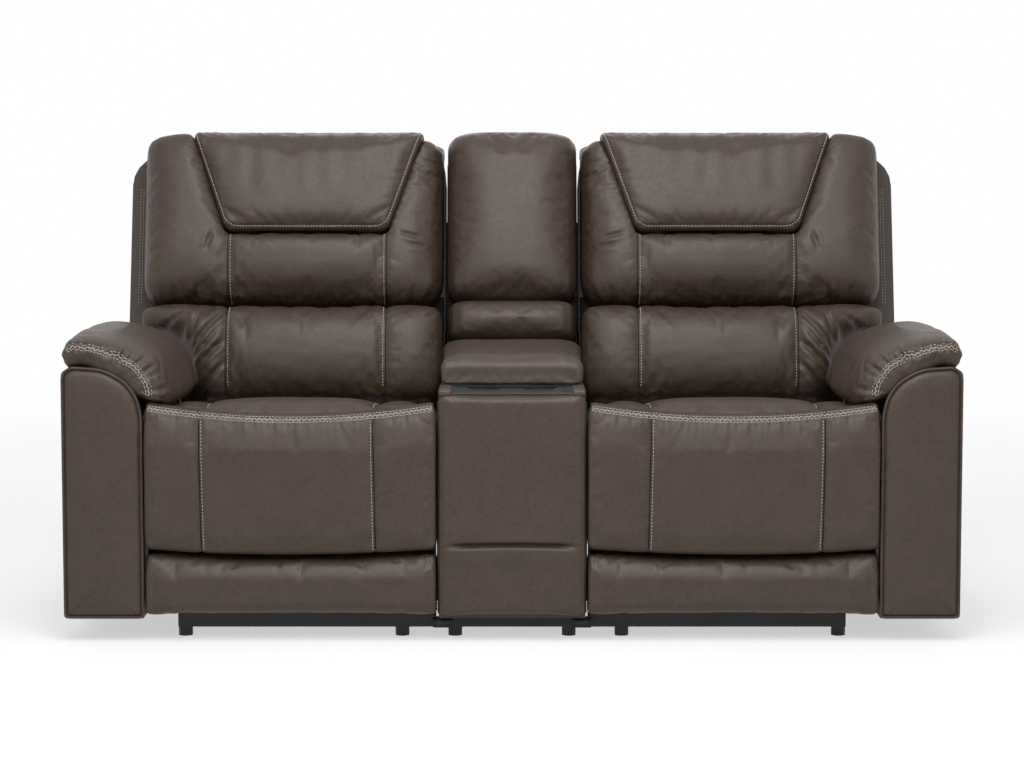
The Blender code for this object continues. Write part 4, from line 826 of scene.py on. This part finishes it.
def upperHeights(z, middle):
    bottom = seatSets["bottom"] - seatSets["sag"] * (middle - 0.5)
    top = seatSets["topEnds"] - seatSets["topDip"] * middle
    return bottom + z / 0.322 * (top - bottom)


def lowerHeights(z, middle):
    return z - 0.012 * (middle - 0.4) * smoothStep(z, 0.10, 0.187)


def lowerHeld(points):
    x, y, z = points.T
    side = smoothStep(np.abs(x - layout["seatMiddle"]), 0.298, 0.308)
    return np.maximum(side, smoothStep(y, -0.462, -0.448))


def sewPlain(points):
    return uneven(points, 8, 0.0012, 0.18, 0.0004, 0.05), np.zeros(len(points))


def makeSeats():
    box = room("right_seat_cushion", (0.0008, 0, 0), (0.0008, 0.002, 0.014))
    cover = stuffed(cadShell("right_seat_cushion"), seatHeld, 0.012, box, sewSeat)
    top = bothSides("seat_cushion", cover, "SIDE_seat")
    box = room("right_footrest_pad_upper", (0.0016, 0.0065, 0), (0.0016, 0, 0.013))
    shell = frontShell(seatSets["upperRing"], upperHeights)
    cover = stuffed(shell, frontHeld, 0.007, box, sewFront, 2, trimFront)
    face = bothSides("footrest_pad_upper", cover, "SIDE_footrest")
    box = room("right_footrest_pad_lower", (0.0016, 0.0065, 0), (0.0016, 0, 0))
    shell = frontShell(seatSets["lowerRing"], lowerHeights)
    cover = stuffed(shell, lowerHeld, 0.006, box, sewPlain, 2, trimFront)
    bothSides("footrest_pad_lower", cover, "SIDE_footrest")
    aside, radius = stitchSets["aside"], stitchSets["seamRadius"]
    down = np.linspace(*seatSets["seamEnds"], 60)
    rows, lines = [], []
    for line, sign in zip(seatSeams(down), (1, -1)):
        rows.append(sewnRow(ontoFront(face, line + sign * aside, down), **stitchSets["bold"]))
        lines.append(corded(ontoFront(face, line + sign * 0.0008, down), radius))
    # The thin dark cords in the seams are painted shadow.
    shaded("front_seams", lines, "SIDE_footrest")
    half, middle = seatSets["braidHalf"], layout["seatMiddle"]
    across = np.linspace(-half, half, 160) + middle
    rows.append(braided(ontoFront(face, across, padTop(across) - seatSets["braidDrop"])))
    stitched("front_stitching", rows, "SIDE_footrest")
    edges = []
    for low, high in seatSets["sideEdges"]:
        edge = pointsOf(0.1609, -0.4600, np.linspace(low, high, 40))
        edges.append(toothed(edge, (-1, 0, 0), 0, 0.0060))
    # A flat dark ribbon on each side: painted shade in the gap beside the console.
    shaded("front_side_edging", edges, "SIDE_footrest")
    rows = []
    for line, sign in zip(seatLines, (1, -1)):
        origins = pointsOf(line + sign * aside, np.linspace(*seatSets["seatRow"], 60), 0.7)
        rows.append(sewnRow(landing(top, origins, (0, 0, -1))))
    stitched("seat_stitching", rows, "SIDE_seat")
    stage("seats")


# backs

backSets = {
    "valley": 0.0026, "valleyWidth": 0.011, "cut": 0.0016, "cutWidth": 0.0034,
    "seams": (0.2925, 0.6630), "lumbarTop": 0.261, "headSeam": 0.428,
    "cushionSeams": (0.268, 0.424), "lumbarSeams": (0.060, 0.252),
    "wingRows": (0.8800, 0.8865), "wingRow": (0.675, 0.945),
}


def backHeld(points):
    u, v = toBack(points)
    x = points[:, 0]
    side = np.maximum(1 - smoothStep(x, 0.164, 0.172), smoothStep(x, 0.858, 0.866))
    seam = bump(seamGap(x, backSets["seams"]), 0.006) * (u < 0.43)
    return np.maximum.reduce([1 - smoothStep(v, 0.05, 0.09), side, seam])


cushionCreases = (
    ((0.700, 0.425), (0.712, 0.385), 0.006, 0.0030),
    ((0.735, 0.300), (0.748, 0.268), 0.006, 0.0030),
    ((0.790, 0.300), (0.785, 0.265), 0.006, 0.0025),
    ((0.215, 0.415), (0.262, 0.425), 0.006, 0.0028),
    ((0.200, 0.395), (0.240, 0.398), 0.006, 0.0020),
    ((0.175, 0.600), (0.205, 0.607), 0.005, 0.0018),
    ((0.172, 0.570), (0.208, 0.575), 0.005, 0.0018),
    ((0.190, 0.300), (0.205, 0.266), 0.005, 0.0022),
    ((0.230, 0.300), (0.236, 0.268), 0.005, 0.0018),
)
lumbarCreases = (
    ((0.727, 0.232), (0.744, 0.170), 0.0070, 0.0050),
    ((0.668, 0.240), (0.727, 0.165), 0.0075, 0.0052),
    ((0.680, 0.200), (0.722, 0.140), 0.0065, 0.0040),
    ((0.668, 0.165), (0.722, 0.112), 0.0070, 0.0045),
    ((0.668, 0.112), (0.722, 0.055), 0.0070, 0.0045),
    ((0.770, 0.236), (0.800, 0.212), 0.0060, 0.0030),
    ((0.172, 0.245), (0.200, 0.225), 0.0060, 0.0025),
)


def backSeams(points):
    u, v = toBack(points)
    x = points[:, 0]
    seams = sewnSeams(x, backSets["seams"], backSets)
    return x, u, smoothStep(v, 0.06, 0.09), *seams


def sewBack(points):
    x, u, face, depth, fold = backSeams(points)
    low = 1 - smoothStep(u, 0.427, 0.431)
    depth, fold = depth * low, fold * low
    deep, dark = creased(x, u, cushionCreases)
    hem = bump(u - backSets["lumbarTop"] - 0.008, 0.020)
    depth += deep + 0.0022 * hem * ripple(x, (0.019, 0.031, 0.047), 31)
    depth += uneven(points, 13, 0.0016, 0.15, 0.0005, 0.045)
    # Under the headrest the hem is drawn in, as its pad turns down there.
    under = 1 - smoothStep(np.abs(x - patternMiddle), 0.185, 0.215)
    depth -= 0.0040 * bump(u - backSets["headSeam"], 0.014) * under
    return depth * face, (fold + dark) * face


def propped(shell):
    # The back cushion's shell. Its thin rear flaps beside the headrest are thickened down to
    # the back shell.
    parts = [shell]
    for sign, end in ((-1, 0.1612), (1, 0.8610)):
        block, faces = brick((0, 0.6515, -0.050), (1, 0.6790, 0.012))
        share, u, v = block.T
        wall = patternMiddle + sign * (headHalf(u) + 0.004)
        parts.append(outward(fromBack(wall + (end - wall) * share, u - 0.013 * share, v), faces))
    return gathered(parts)


def lumbarHeld(points):
    u, v = toBack(points)
    x = points[:, 0]
    beside = smoothStep(x, 0.735, 0.745) * (u < 0.2)
    inner = 1 - smoothStep(x, 0.164, 0.172)
    seam = bump(seamGap(x, backSets["seams"]), 0.006)
    return np.maximum.reduce([1 - smoothStep(v, 0.05, 0.09), inner, seam, beside])


def sewLumbar(points):
    x, u, face, depth, fold = backSeams(points)
    deep, dark = creased(x, u, lumbarCreases)
    depth += deep + uneven(points, 17, 0.0016, 0.15, 0.0005, 0.045)
    return depth * face, (fold + dark) * face


headSets = {
    "lowHalf": 0.1895, "topHalf": 0.2785, "low": 0.4308, "top": 0.6790,
    "rear": 0.0373, "front": 0.1575, "stitchIn": 0.0095,
    "hinge": ((-0.120, 0.37, -0.02), (0.120, 0.526, 0.132)),
    "foot": 0.428, "head": 0.684,  # where the two half widths hold
    "crown": 0.007, "loftHalf": 0.2,
    "stitchTop": 0.672, "bendTop": 0.462, "bendLow": 0.440, "bendAcross": 0.030,
    "piping": 0.0015, "pipingLift": -0.0013, "pipingIn": 0.0042,
}


def headHalf(u):
    # Half the headrest's width at a height up the back.
    sets = headSets
    rise = (u - sets["foot"]) / (sets["head"] - sets["foot"])
    return sets["lowHalf"] + (sets["topHalf"] - sets["lowHalf"]) * rise


def headShell():
    sets = headSets
    low, top, rear, front = sets["low"], sets["top"], sets["rear"], sets["front"]
    corners = [(rear, low, 0.004), (front - 0.004, low, 0.020)]
    corners += [(front - 0.014, top, 0.042), (rear, top, 0.016)]
    points, faces = lofted(outline(corners, 0.006), sets["loftHalf"], 0.014, 0.006)
    x, v, u = points.T
    x = x / sets["loftHalf"]
    rise = np.clip((u - low) / (top - low), 0, 1)
    crown = sets["crown"] * np.clip(1 - x**2, 0, 1) ** 0.6 * np.sin(rise * math.pi) ** 0.7
    v = v + crown * smoothStep(v, 0.09, 0.14)
    return fromBack(patternMiddle + x * headHalf(u), u, v), faces


def headHeld(points):
    u, v = toBack(points)
    edge = headHalf(u) - np.abs(points[:, 0] - patternMiddle)
    side, foot = 1 - smoothStep(edge, 0.006, 0.012), 1 - smoothStep(u, 0.436, 0.444)
    return np.maximum.reduce([1 - smoothStep(v, 0.08, 0.11), side, foot])


def sewHead(points):
    u, v = toBack(points)
    face = smoothStep(v, 0.09, 0.12)
    edge = headHalf(u) - np.abs(points[:, 0] - patternMiddle)
    inset = np.minimum(edge, u - headSets["low"]) - headSets["stitchIn"]
    depth = -0.0016 * bump(inset, 0.0040) - 0.0022 * bump(inset - 0.004, 0.012)
    crest = smoothStep(u, 0.63, 0.67)
    depth += 0.0013 * crest * ripple(points[:, 0], (0.021, 0.034, 0.060), 41)
    depth += uneven(points, 23, 0.0016, 0.15, 0.0005, 0.05)
    depth += 0.0012 * ripple(points[:, 0], (0.075, 0.052, 0.11), 43) * smoothStep(u, 0.50, 0.56)
    # Painted shade along the stitched line.
    return depth * face, (0.30 * bump(inset, 0.0032)) * face


def pocketed(points, quads, fold):
    # The headrest's cover less the room for its hinge.
    obj = placed("cover", withPaintedShade("cover", points, quads, fold))
    low, high = (np.array(corner) + (patternMiddle, 0, 0) for corner in headSets["hinge"])
    cutter = placed("hingeRoom", asMesh("hingeRoom", *backBrick(low, high), False))
    cut = obj.modifiers.new("hingeRoom", "BOOLEAN")
    cut.operation = "DIFFERENCE"
    cut.solver = "EXACT"
    cut.object = cutter
    mesh = finished(obj)
    bpy.data.objects.remove(cutter)
    return mesh


def aroundPad(left, foot):
    # Down the headrest's left side, along its foot and up the other side, as widths and heights.
    return np.concatenate([left, foot, left[::-1] * (-1, 1) + (2 * patternMiddle, 0)]).T


def makeHeadrest():
    box = room("right_headrest_pad", (0.0030, 0.012, 0.0), (0.0030, 0.0, 0.009))
    points, quads, fold = stuffed(headShell(), headHeld, 0.008, box, sewHead, 2)
    mesh = pocketed(points, quads, fold)
    for side in ("right", "left"):
        if side == "left":
            mesh = mesh.copy()
            mesh.transform(((-1, 0, 0, 0), (0, 1, 0, 0), (0, 0, 1, 0), (0, 0, 0, 1)))
            mesh.flip_normals()
        mesh.materials.clear()
        name = f"{side}_headrest_pad"
        show(name + "_cover", mesh, f"{side}_headrest", replaces=[name])
    tree = treeOf(points, quads)
    sets = headSets
    inset, low, high = sets["stitchIn"], sets["bendLow"], sets["bendTop"]
    height = np.linspace(sets["stitchTop"], high, 50)
    side = np.stack([patternMiddle - headHalf(height) + inset, height], 1)
    start = np.array((patternMiddle - headHalf(high) + inset, high))
    corner = np.array((patternMiddle - headHalf(low) + inset + 0.001, sets["low"] + inset))
    end = corner + (sets["bendAcross"], 0)
    turn = np.linspace(0, 1, 12)[1:-1, None]
    bend = (1 - turn) ** 2 * start + 2 * turn * (1 - turn) * corner + turn**2 * end
    flat = np.stack([np.linspace(end[0], 2 * patternMiddle - end[0], 60), np.full(60, end[1])], 1)
    seam = ontoBack(tree, *aroundPad(np.concatenate([side, bend]), flat))
    stitched("headrest_stitching", [sewnRow(seam, **stitchSets["edge"])], "SIDE_headrest")
    rim = np.concatenate([side - (inset - 0.0040, 0), bend + (-0.0024, -0.0018)])
    beside = patternMiddle - headHalf(rim[:, 1]) + sets["pipingIn"]
    rim[:, 0] = np.where(rim[:, 1] > 0.46, beside, rim[:, 0])
    rim = ontoBack(tree, *aroundPad(rim, flat - (0, inset - 0.0072)))
    cord = corded(rim, sets["piping"], lift=sets["pipingLift"])
    pairOf("headrest_piping", *cord, "SIDE_headrest", "leather", finishes["leather_dark"])


def makeBacks():
    box = room("right_back_cushion", (0.0008, 0.016, 0.002), (0.0008, 0.0, 0.010))
    cover = stuffed(propped(cadShell("right_back_cushion")), backHeld, 0.010, box, sewBack, 14)
    cushion = bothSides("back_cushion", cover, "SIDE_back")
    box = room("right_lumbar_cushion", (0.0008, 0.016, 0.001), (0.0008, 0.0, 0.006))
    cover = stuffed(cadShell("right_lumbar_cushion"), lumbarHeld, 0.010, box, sewLumbar, 8)
    roll = bothSides("lumbar_cushion", cover, "SIDE_back")
    aside, radius = stitchSets["aside"], stitchSets["seamRadius"]
    rows, lines = [], []
    for surface, ends in ((cushion, backSets["cushionSeams"]), (roll, backSets["lumbarSeams"])):
        up = np.linspace(*ends, 60)
        for line, sign in zip(backSets["seams"], (1, -1)):
            rows.append(sewnRow(ontoBack(surface, line + sign * aside, up), **stitchSets["bold"]))
            lines.append(corded(ontoBack(surface, line, up), radius))
    stitched("back_stitching", rows, "SIDE_back")
    # The thin dark cords in the seams are painted shadow.
    shaded("back_seams", lines, "SIDE_back")
    shell = treeOf(*cadShell("right_back_shell"))
    up = np.linspace(*backSets["wingRow"], 60)
    rows = [sewnRow(ontoFront(shell, x, up, -0.2)) for x in backSets["wingRows"]]
    stitched("wing_stitching", rows, "SIDE_back")
    shade = backBrick((0.1605, 0.225, 0.0008), (0.190, 0.300, 0.0060))
    shaded("back_corner_shade", [shade], "SIDE_back")
    wing = backBrick((0.700, 0.034, 0.0015), (0.7860, 0.285, 0.0125))
    pairOf("lumbar_wing", *wing, "SIDE_back", "leather_dark")
    makeHeadrest()
    stage("backs")


# arms

armSets = {
    "braid": (
        (0.9600, 0.6330), (0.9300, 0.6400), (0.8988, 0.6350), (0.8620, 0.6240), (0.8265, 0.6093),
        (0.8020, 0.5960), (0.7840, 0.5790), (0.7720, 0.5600), (0.7665, 0.5400), (0.7700, 0.5180),
    ),
    "braidY": -0.487, "braidSpread": 0.0068, "braidMiddle": (0.87, 0.52),
    "seam": (
        (0.800, 0.672), (0.765, 0.660), (0.742, 0.640), (0.728, 0.615), (0.720, 0.585),
        (0.718, 0.555), (0.722, 0.520),
    ),
    "seamY": -0.400, "seamRadius": 0.0009, "ringY": -0.30,
    "gather": 0.0034, "gatherLengths": (0.014, 0.021, 0.033),
    "flatFrom": 0.60, "flatShare": 0.84, "hangOut": 0.009, "hangDown": 0.013, "lowest": 0.5005,
}


def armHeld(points):
    x, y, z = points.T
    return np.maximum(1 - smoothStep(z, 0.52, 0.55), smoothStep(y, 0.05, 0.07))


def braidGap(points):
    # Distance from the braid's line over the pad's front end, and how far along it.
    line = np.array(armSets["braid"])
    ring = np.stack([points[:, 0], points[:, 2]], 1)
    middle = np.array(armSets["braidMiddle"])
    turn = np.arctan2(ring[:, 1] - middle[1], ring[:, 0] - middle[0])
    lines = np.arctan2(line[:, 1] - middle[1], line[:, 0] - middle[0])
    order = np.argsort(lines)
    reach = np.linalg.norm(line - middle, axis=1)
    radius = np.interp(turn, lines[order], reach[order])
    return np.linalg.norm(ring - middle, axis=1) - radius, turn * 0.12


def sewArm(points):
    x, y, z = points.T
    sets = armSets
    gap, along = braidGap(points)
    near = 1 - smoothStep(y, -0.47, -0.42)
    gather = ripple(along, sets["gatherLengths"], 51)
    puffs = bump(gap - 0.014, 0.013) + 0.6 * bump(gap + 0.016, 0.012)
    depth = sets["gather"] * gather * near * puffs - 0.0022 * near * bump(gap, 0.009)
    ring = y - sets["ringY"]
    depth += uneven(points, 27, 0.0014, 0.13, 0.0005, 0.045)
    depth -= 0.0012 * bump(ring, 0.0028)
    # Painted shade beside the braid and in the ring seam.
    fold = 0.35 * near * bump(np.abs(gap) - 0.010, 0.003) + 0.45 * bump(ring, 0.0016)
    low = smoothStep(z, 0.50, 0.53)
    return depth * low, fold * low


def armTrim(points):
    # The pad's top is flattened, and its lower inner edge hangs down to the seat.
    x, y, z = points.T
    sets = armSets
    hang = (1 - smoothStep(x, 0.745, 0.800)) * (1 - smoothStep(z, 0.530, 0.590))
    hang = hang * (1 - smoothStep(y, -0.17, -0.09))
    top = sets["flatFrom"]
    z = np.where(z > top, top + (z - top) * sets["flatShare"], z)
    z = np.maximum(z - sets["hangDown"] * hang, sets["lowest"])
    return pointsOf(x - sets["hangOut"] * hang, y, z)


panelSets = {
    "inner": 0.7855, "outer": 0.9575, "foot": 0.051, "face": -0.4985, "crown": 0.0040,
    "crest": ((0.868, 0.5880, 0.10), (0.8185, 0.5610, 0.090), (0.7940, 0.5250, 0.080)),
    "middle": (0.13, 0.50),  # the heights between which the crown's ridge runs
    # how far in from the outline, and the depth there: a flat welt, a groove, the crown's edge
    "layers": (
        (0.0, -0.4854), (0.0, -0.4915), (0.0012, -0.4938), (0.0036, -0.4944), (0.0054, -0.4930),
        (0.0062, -0.4896), (0.0074, -0.4896), (0.0084, -0.4930), (0.0112, -0.4962),
        (0.0165, -0.4985),
    ),
}


def armPanel():
    # The arm's padded front: its outline drawn in ring by ring, and a low crown within.
    sets = panelSets
    inner, outer, foot, layers = sets["inner"], sets["outer"], sets["foot"], sets["layers"]
    corners = [(inner, foot, 0.010), (outer, foot, 0.012), (outer, 0.5940, 0.028)]
    ring = outline([*corners, *sets["crest"], (inner, 0.4850, 0.12)], 0.006)
    inward = inwardOf(ring)
    points = [np.insert(ring + inward * inset, 1, y, 1) for inset, y in layers]
    last = ring + inward * layers[-1][0]
    ridge = np.full(len(ring), 0.5 * (inner + outer))
    middle = np.stack([ridge, np.clip(last[:, 1], *sets["middle"])], 1)
    for share in np.linspace(0.94, 0.03, 16):
        depth = sets["face"] - sets["crown"] * (1 - share**4)
        points.append(np.insert(middle + (last - middle) * share, 1, depth, 1))
    return tube(np.concatenate(points), len(ring))


def makeArms():
    box = room("right_arm_pad", (0.012, 0.006, 0.009), (0.003, 0.0, 0.0015))
    cover = stuffed(cadShell("right_arm_pad"), armHeld, 0.008, box, sewArm, None, armTrim)
    tree = bothSides("arm_pad", cover, "sofa_frame")
    lines = []
    for line, y in ((armSets["braid"], armSets["braidY"]), (armSets["seam"], armSets["seamY"])):
        lines.append(nearest(tree, evenly(np.insert(np.array(line), 1, y, 1), 0.006)))
    stitched("arm_braid", [braided(lines[0], armSets["braidSpread"])])
    pairOf("arm_seam", *corded(lines[1], armSets["seamRadius"]))
    pairOf("arm_front", *armPanel(), standsFor="arm_front_panel")
    edge = pointsOf(0.7950, 0.2180, np.linspace(0.36, 0.468, 40))
    # A flat dark ribbon: painted shade in the gap at the arm's inner side.
    shaded("arm_gap_strip", [toothed(edge, (1, 0, 0), 0, 0.0087)])
    stage("arms")


# console

consoleSets = {
    "tuck": 0.211, "half": 0.1562, "front": -0.5003, "back": -0.4784, "low": 0.058, "top": 0.532,
    "bulge": 0.0042, "tuckDepth": 0.0125, "puff": 0.0026, "topSeam": 0.5235, "sideSeam": 0.1475,
}


def consoleHeld(points):
    return smoothStep(np.abs(points[:, 0]), 0.135, 0.150)


def consoleShell():
    sets = consoleSets
    front, back, low, top = sets["front"], sets["back"], sets["low"], sets["top"]
    corners = [(back, low, 0.003), (front, low, 0.009), (front, top, 0.009), (back, top, 0.003)]
    return lofted(outline(corners, 0.004), sets["half"], 0.008, 0.005)


def sewConsole(points):
    x, y, z = points.T
    sets = consoleSets
    face = 1 - smoothStep(y, -0.490, -0.482)
    tuck = z - sets["tuck"] + 0.003 * (x / 0.15) ** 2
    reach = 1 - smoothStep(np.abs(x), 0.095, 0.153)
    side = np.abs(x) - sets["sideSeam"]
    bulge = bump(tuck + 0.020, 0.026) + 0.6 * bump(tuck - 0.030, 0.040)
    depth = sets["bulge"] * bulge * (1 - (x / 0.16) ** 4)
    depth -= sets["tuckDepth"] * bump(tuck, 0.0048) * reach
    depth += sets["puff"] * smoothStep(z, 0.30, 0.47) * (1 - (x / 0.16) ** 6)
    depth += uneven(points, 71, 0.0008, 0.16, 0.0004, 0.05)
    depth -= 0.0010 * bump(z - sets["topSeam"], 0.003) + 0.0006 * bump(side, 0.0022)
    # Painted shade in the tuck and at the side seams.
    fold = 0.85 * bump(tuck, 0.0040) * reach + 0.3 * bump(side, 0.0018)
    return depth * face, fold * face


def consolePiece(
    node, shell, cap, grow, body="sofa_frame", held=consoleHeld, sew=sewPlain, smoothing=None
):
    # The cover of one of the console's pads, which may pass its box by what grow says.
    points, quads, fold = stuffed(shell, held, cap, room(node, *grow), sew, smoothing)
    mesh = withPaintedShade(node + "_cover", points, quads, fold)
    show(node + "_cover", mesh, body, replaces=[node])


lidSets = {
    "half": 0.1578, "rounding": 0.014, "drop": 0.006,
    "ring": (
        (-0.3850, 0.5418, 0.008), (-0.3850, 0.6005, 0.024), (0.0175, 0.6075, 0.020),
        (0.0175, 0.5520, 0.005), (-0.360, 0.5505, 0.003), (-0.366, 0.5418, 0.003),
    ),
}


def lidShell():
    sets = lidSets
    points, faces = lofted(outline(sets["ring"], 0.005), sets["half"], sets["rounding"], 0.006)
    x, y, z = points.T
    drop = sets["drop"] * smoothStep(np.abs(x), 0.10, 0.158) * smoothStep(z, 0.57, 0.60)
    return pointsOf(x, y, z - drop), faces


def lidHeld(points):
    x, y, z = points.T
    return np.maximum(1 - smoothStep(z, 0.545, 0.552), smoothStep(y, -0.01, 0.01))


traySets = {
    "y": -0.4925, "thick": 0.0028, "bottom": 0.5300,
    "top": (  # the lip's upper edge from left to right: high at its ends, low over the wells
        (-0.1285, 0.5425), (-0.1230, 0.5425), (-0.1190, 0.5478), (-0.0960, 0.5478),
        (-0.0860, 0.5425), (0.0860, 0.5425), (0.0960, 0.5478), (0.1190, 0.5478),
        (0.1230, 0.5425), (0.1285, 0.5425),
    ),
    "railAt": 0.1425, "railHalf": 0.0140,
    "rail": (
        (-0.4960, 0.5290, 0.003), (-0.4960, 0.5435, 0.007),
        (-0.3870, 0.5435, 0.004), (-0.3870, 0.5290, 0.002),
    ),
}


def makeTrayEdge():
    # The tray's front lip between two leather rails.
    sets = traySets
    x, top = np.array(sets["top"]).T
    back = sets["y"] + sets["thick"]
    loop = ((sets["y"], sets["bottom"]), (sets["y"], top), (back, top), (back, sets["bottom"]))
    loops = [pointsOf(x, y, z) for y, z in loop]
    mesh = asMesh("console_tray_edge", *tube(np.stack(loops, 1).reshape(-1, 3), 4), False)
    show("console_tray_edge", mesh, "sofa_frame", "plastic")
    points, faces = lofted(outline(sets["rail"], 0.003), sets["railHalf"], 0.0045, 0.004)
    pairOf("console_rail", points + (sets["railAt"], 0, 0), faces)


def makeConsole():
    box = ((0, 0.0065, 0), (0, 0, 0))
    consolePiece("console_front_pad", consoleShell(), 0.003, box, sew=sewConsole, smoothing=1)
    prop = backBrick((-0.138, 0.6515, -0.046), (0.138, 0.6760, 0.030))
    shell = gathered([cadShell("console_back_pad_upper"), prop])
    box = ((0, 0.012, 0), (0, 0, 0.006))
    consolePiece("console_back_pad_upper", shell, 0.009, box, smoothing=8)
    shell = cadShell("console_back_roll")
    consolePiece("console_back_roll", shell, 0.006, ((0, 0.010, 0), (0, 0, 0)))
    box = ((0, 0.004, 0.009), (0, 0, 0.007))
    consolePiece("console_lid_pad", lidShell(), 0.006, box, "console_lid", lidHeld, smoothing=2)
    out = (1, 0, 0)
    edge = pointsOf(0.1572, -0.4845, np.linspace(0.062, 0.520, 60))
    pairOf("console_edging", *toothed(edge, out, 0.0020), slot="plastic")
    # A flat dark ribbon behind the edging: painted shade in the gap beside the console.
    shaded("console_gap_strip", [toothed(edge + (0.0022, 0.0022, 0), out, 0, 0.0030)])
    pairOf("base_link", *brick((0.1300, -0.460, 0.0262), (0.1700, -0.440, 0.0478)), slot="steel")
    beside = fromBack(0.1562, np.linspace(0.20, 0.54, 60), 0.075)
    shaded("back_edging", [toothed(beside, out, 0.0028)])
    behind = fromBack(0.1590, np.linspace(0.02, 0.51, 60), -0.09)
    # A flat dark ribbon: painted shade in the gap behind the back beside the console.
    shaded("back_gap_strip", [toothed(behind, out, 0, 0.0044)])
    shaded("console_corner_shade", [backBrick((0.128, 0.215, 0.0206), (0.1544, 0.300, 0.0240))])
    makeTrayEdge()
    stage("console")


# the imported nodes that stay


def finishNodes():
    kinds = ("leather_dark", "leather", "steel", "zinc", "wood", "plastic")
    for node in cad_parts.values():
        packed = " ".join(slot.material.name for slot in node.material_slots)
        kind = next((kind for kind in kinds if kind in packed), None)
        for slot in node.material_slots:
            slot.material = finishes[kind]
    stage("packed nodes")


# floor, light and camera

viewSets = {
    "camera": (0, -6.5, 1.138),
    "pitch": 90 - 5.54,
    "lens": 100.1,
    "floorHalf": 6.0,
    "floorShare": 0.45,  # the rest is the white behind it
    "floorFade": (2.2, 4.6),  # the floor fades out between these distances
    "air": 0.54,  # light from all round
    "lamps": (
        ("high", (0, -2.4, 2.8), (41, 0, 0), 2.2, 80),
        ("key", (-2.9, -3.6, 2.6), (62, 0, -38), 1.8, 14),
        ("fill", (3.0, -3.6, 2.2), (66, 0, 40), 2.0, 7),
        ("near", (0, -0.95, 2.15), (50, 0, 0), 1.6, 9),
        ("rear", (0, 3.2, 2.1), (-64, 0, 0), 2.2, 24),
    ),
}


def makeFloor():
    points = viewSets["floorHalf"] * np.array([[-1, -1, 0], [1, -1, 0], [1, 1, 0], [-1, 1, 0]])
    floor = placed("floor", asMesh("floor", points, [[0, 1, 2, 3]], False))
    paint = Finish("paleFloor", Base_Color=[0.95] * 3 + [1], Roughness=0.75, Specular_IOR_Level=0.2)
    away = paint.node("ShaderNodeVectorMath", {"operation": "LENGTH"}, {0: paint.place}, "Value")
    paint.drive("Alpha", paint.ramp(away, viewSets["floorShare"], 0.0, *viewSets["floorFade"]))
    floor.data.materials.append(paint.material)


def makeSky():
    # White to the camera and in reflections, and a share of that as light on what is dull.
    world = bpy.data.worlds.new("studio")
    sky = Nodes(world)
    level = viewSets["air"]
    for ray in ("Is Camera Ray", "Is Glossy Ray", "Is Transmission Ray"):
        seen = sky.node("ShaderNodeLightPath", out=ray)
        level = seen.reckon("MAXIMUM", seen, level)
    background = sky.tree.nodes["Background"]
    background.inputs["Color"].default_value = (1, 1, 1, 1)
    sky.tree.links.new(level.socket, background.inputs["Strength"])
    bpy.context.scene.world = world


def makeStage():
    makeFloor()
    makeSky()
    for name, place, turn, size, power in viewSets["lamps"]:
        data = bpy.data.lights.new(name, "AREA")
        data.shape = "SQUARE"
        data.size = size
        data.energy = power
        lamp = placed(name, data)
        lamp.location = place
        lamp.rotation_euler = [math.radians(t) for t in turn]
    data = bpy.data.cameras.new("camera")
    data.lens = viewSets["lens"]
    data.sensor_width = 36
    camera = placed("camera", data)
    camera.location = viewSets["camera"]
    camera.rotation_euler = (math.radians(viewSets["pitch"]), 0, 0)
    bpy.context.scene.camera = camera
    bpy.context.scene.view_settings.view_transform = "Standard"
    stage("floor, light and camera")


makeStage()
finishNodes()
makeSeats()
makeBacks()
makeArms()
makeConsole()
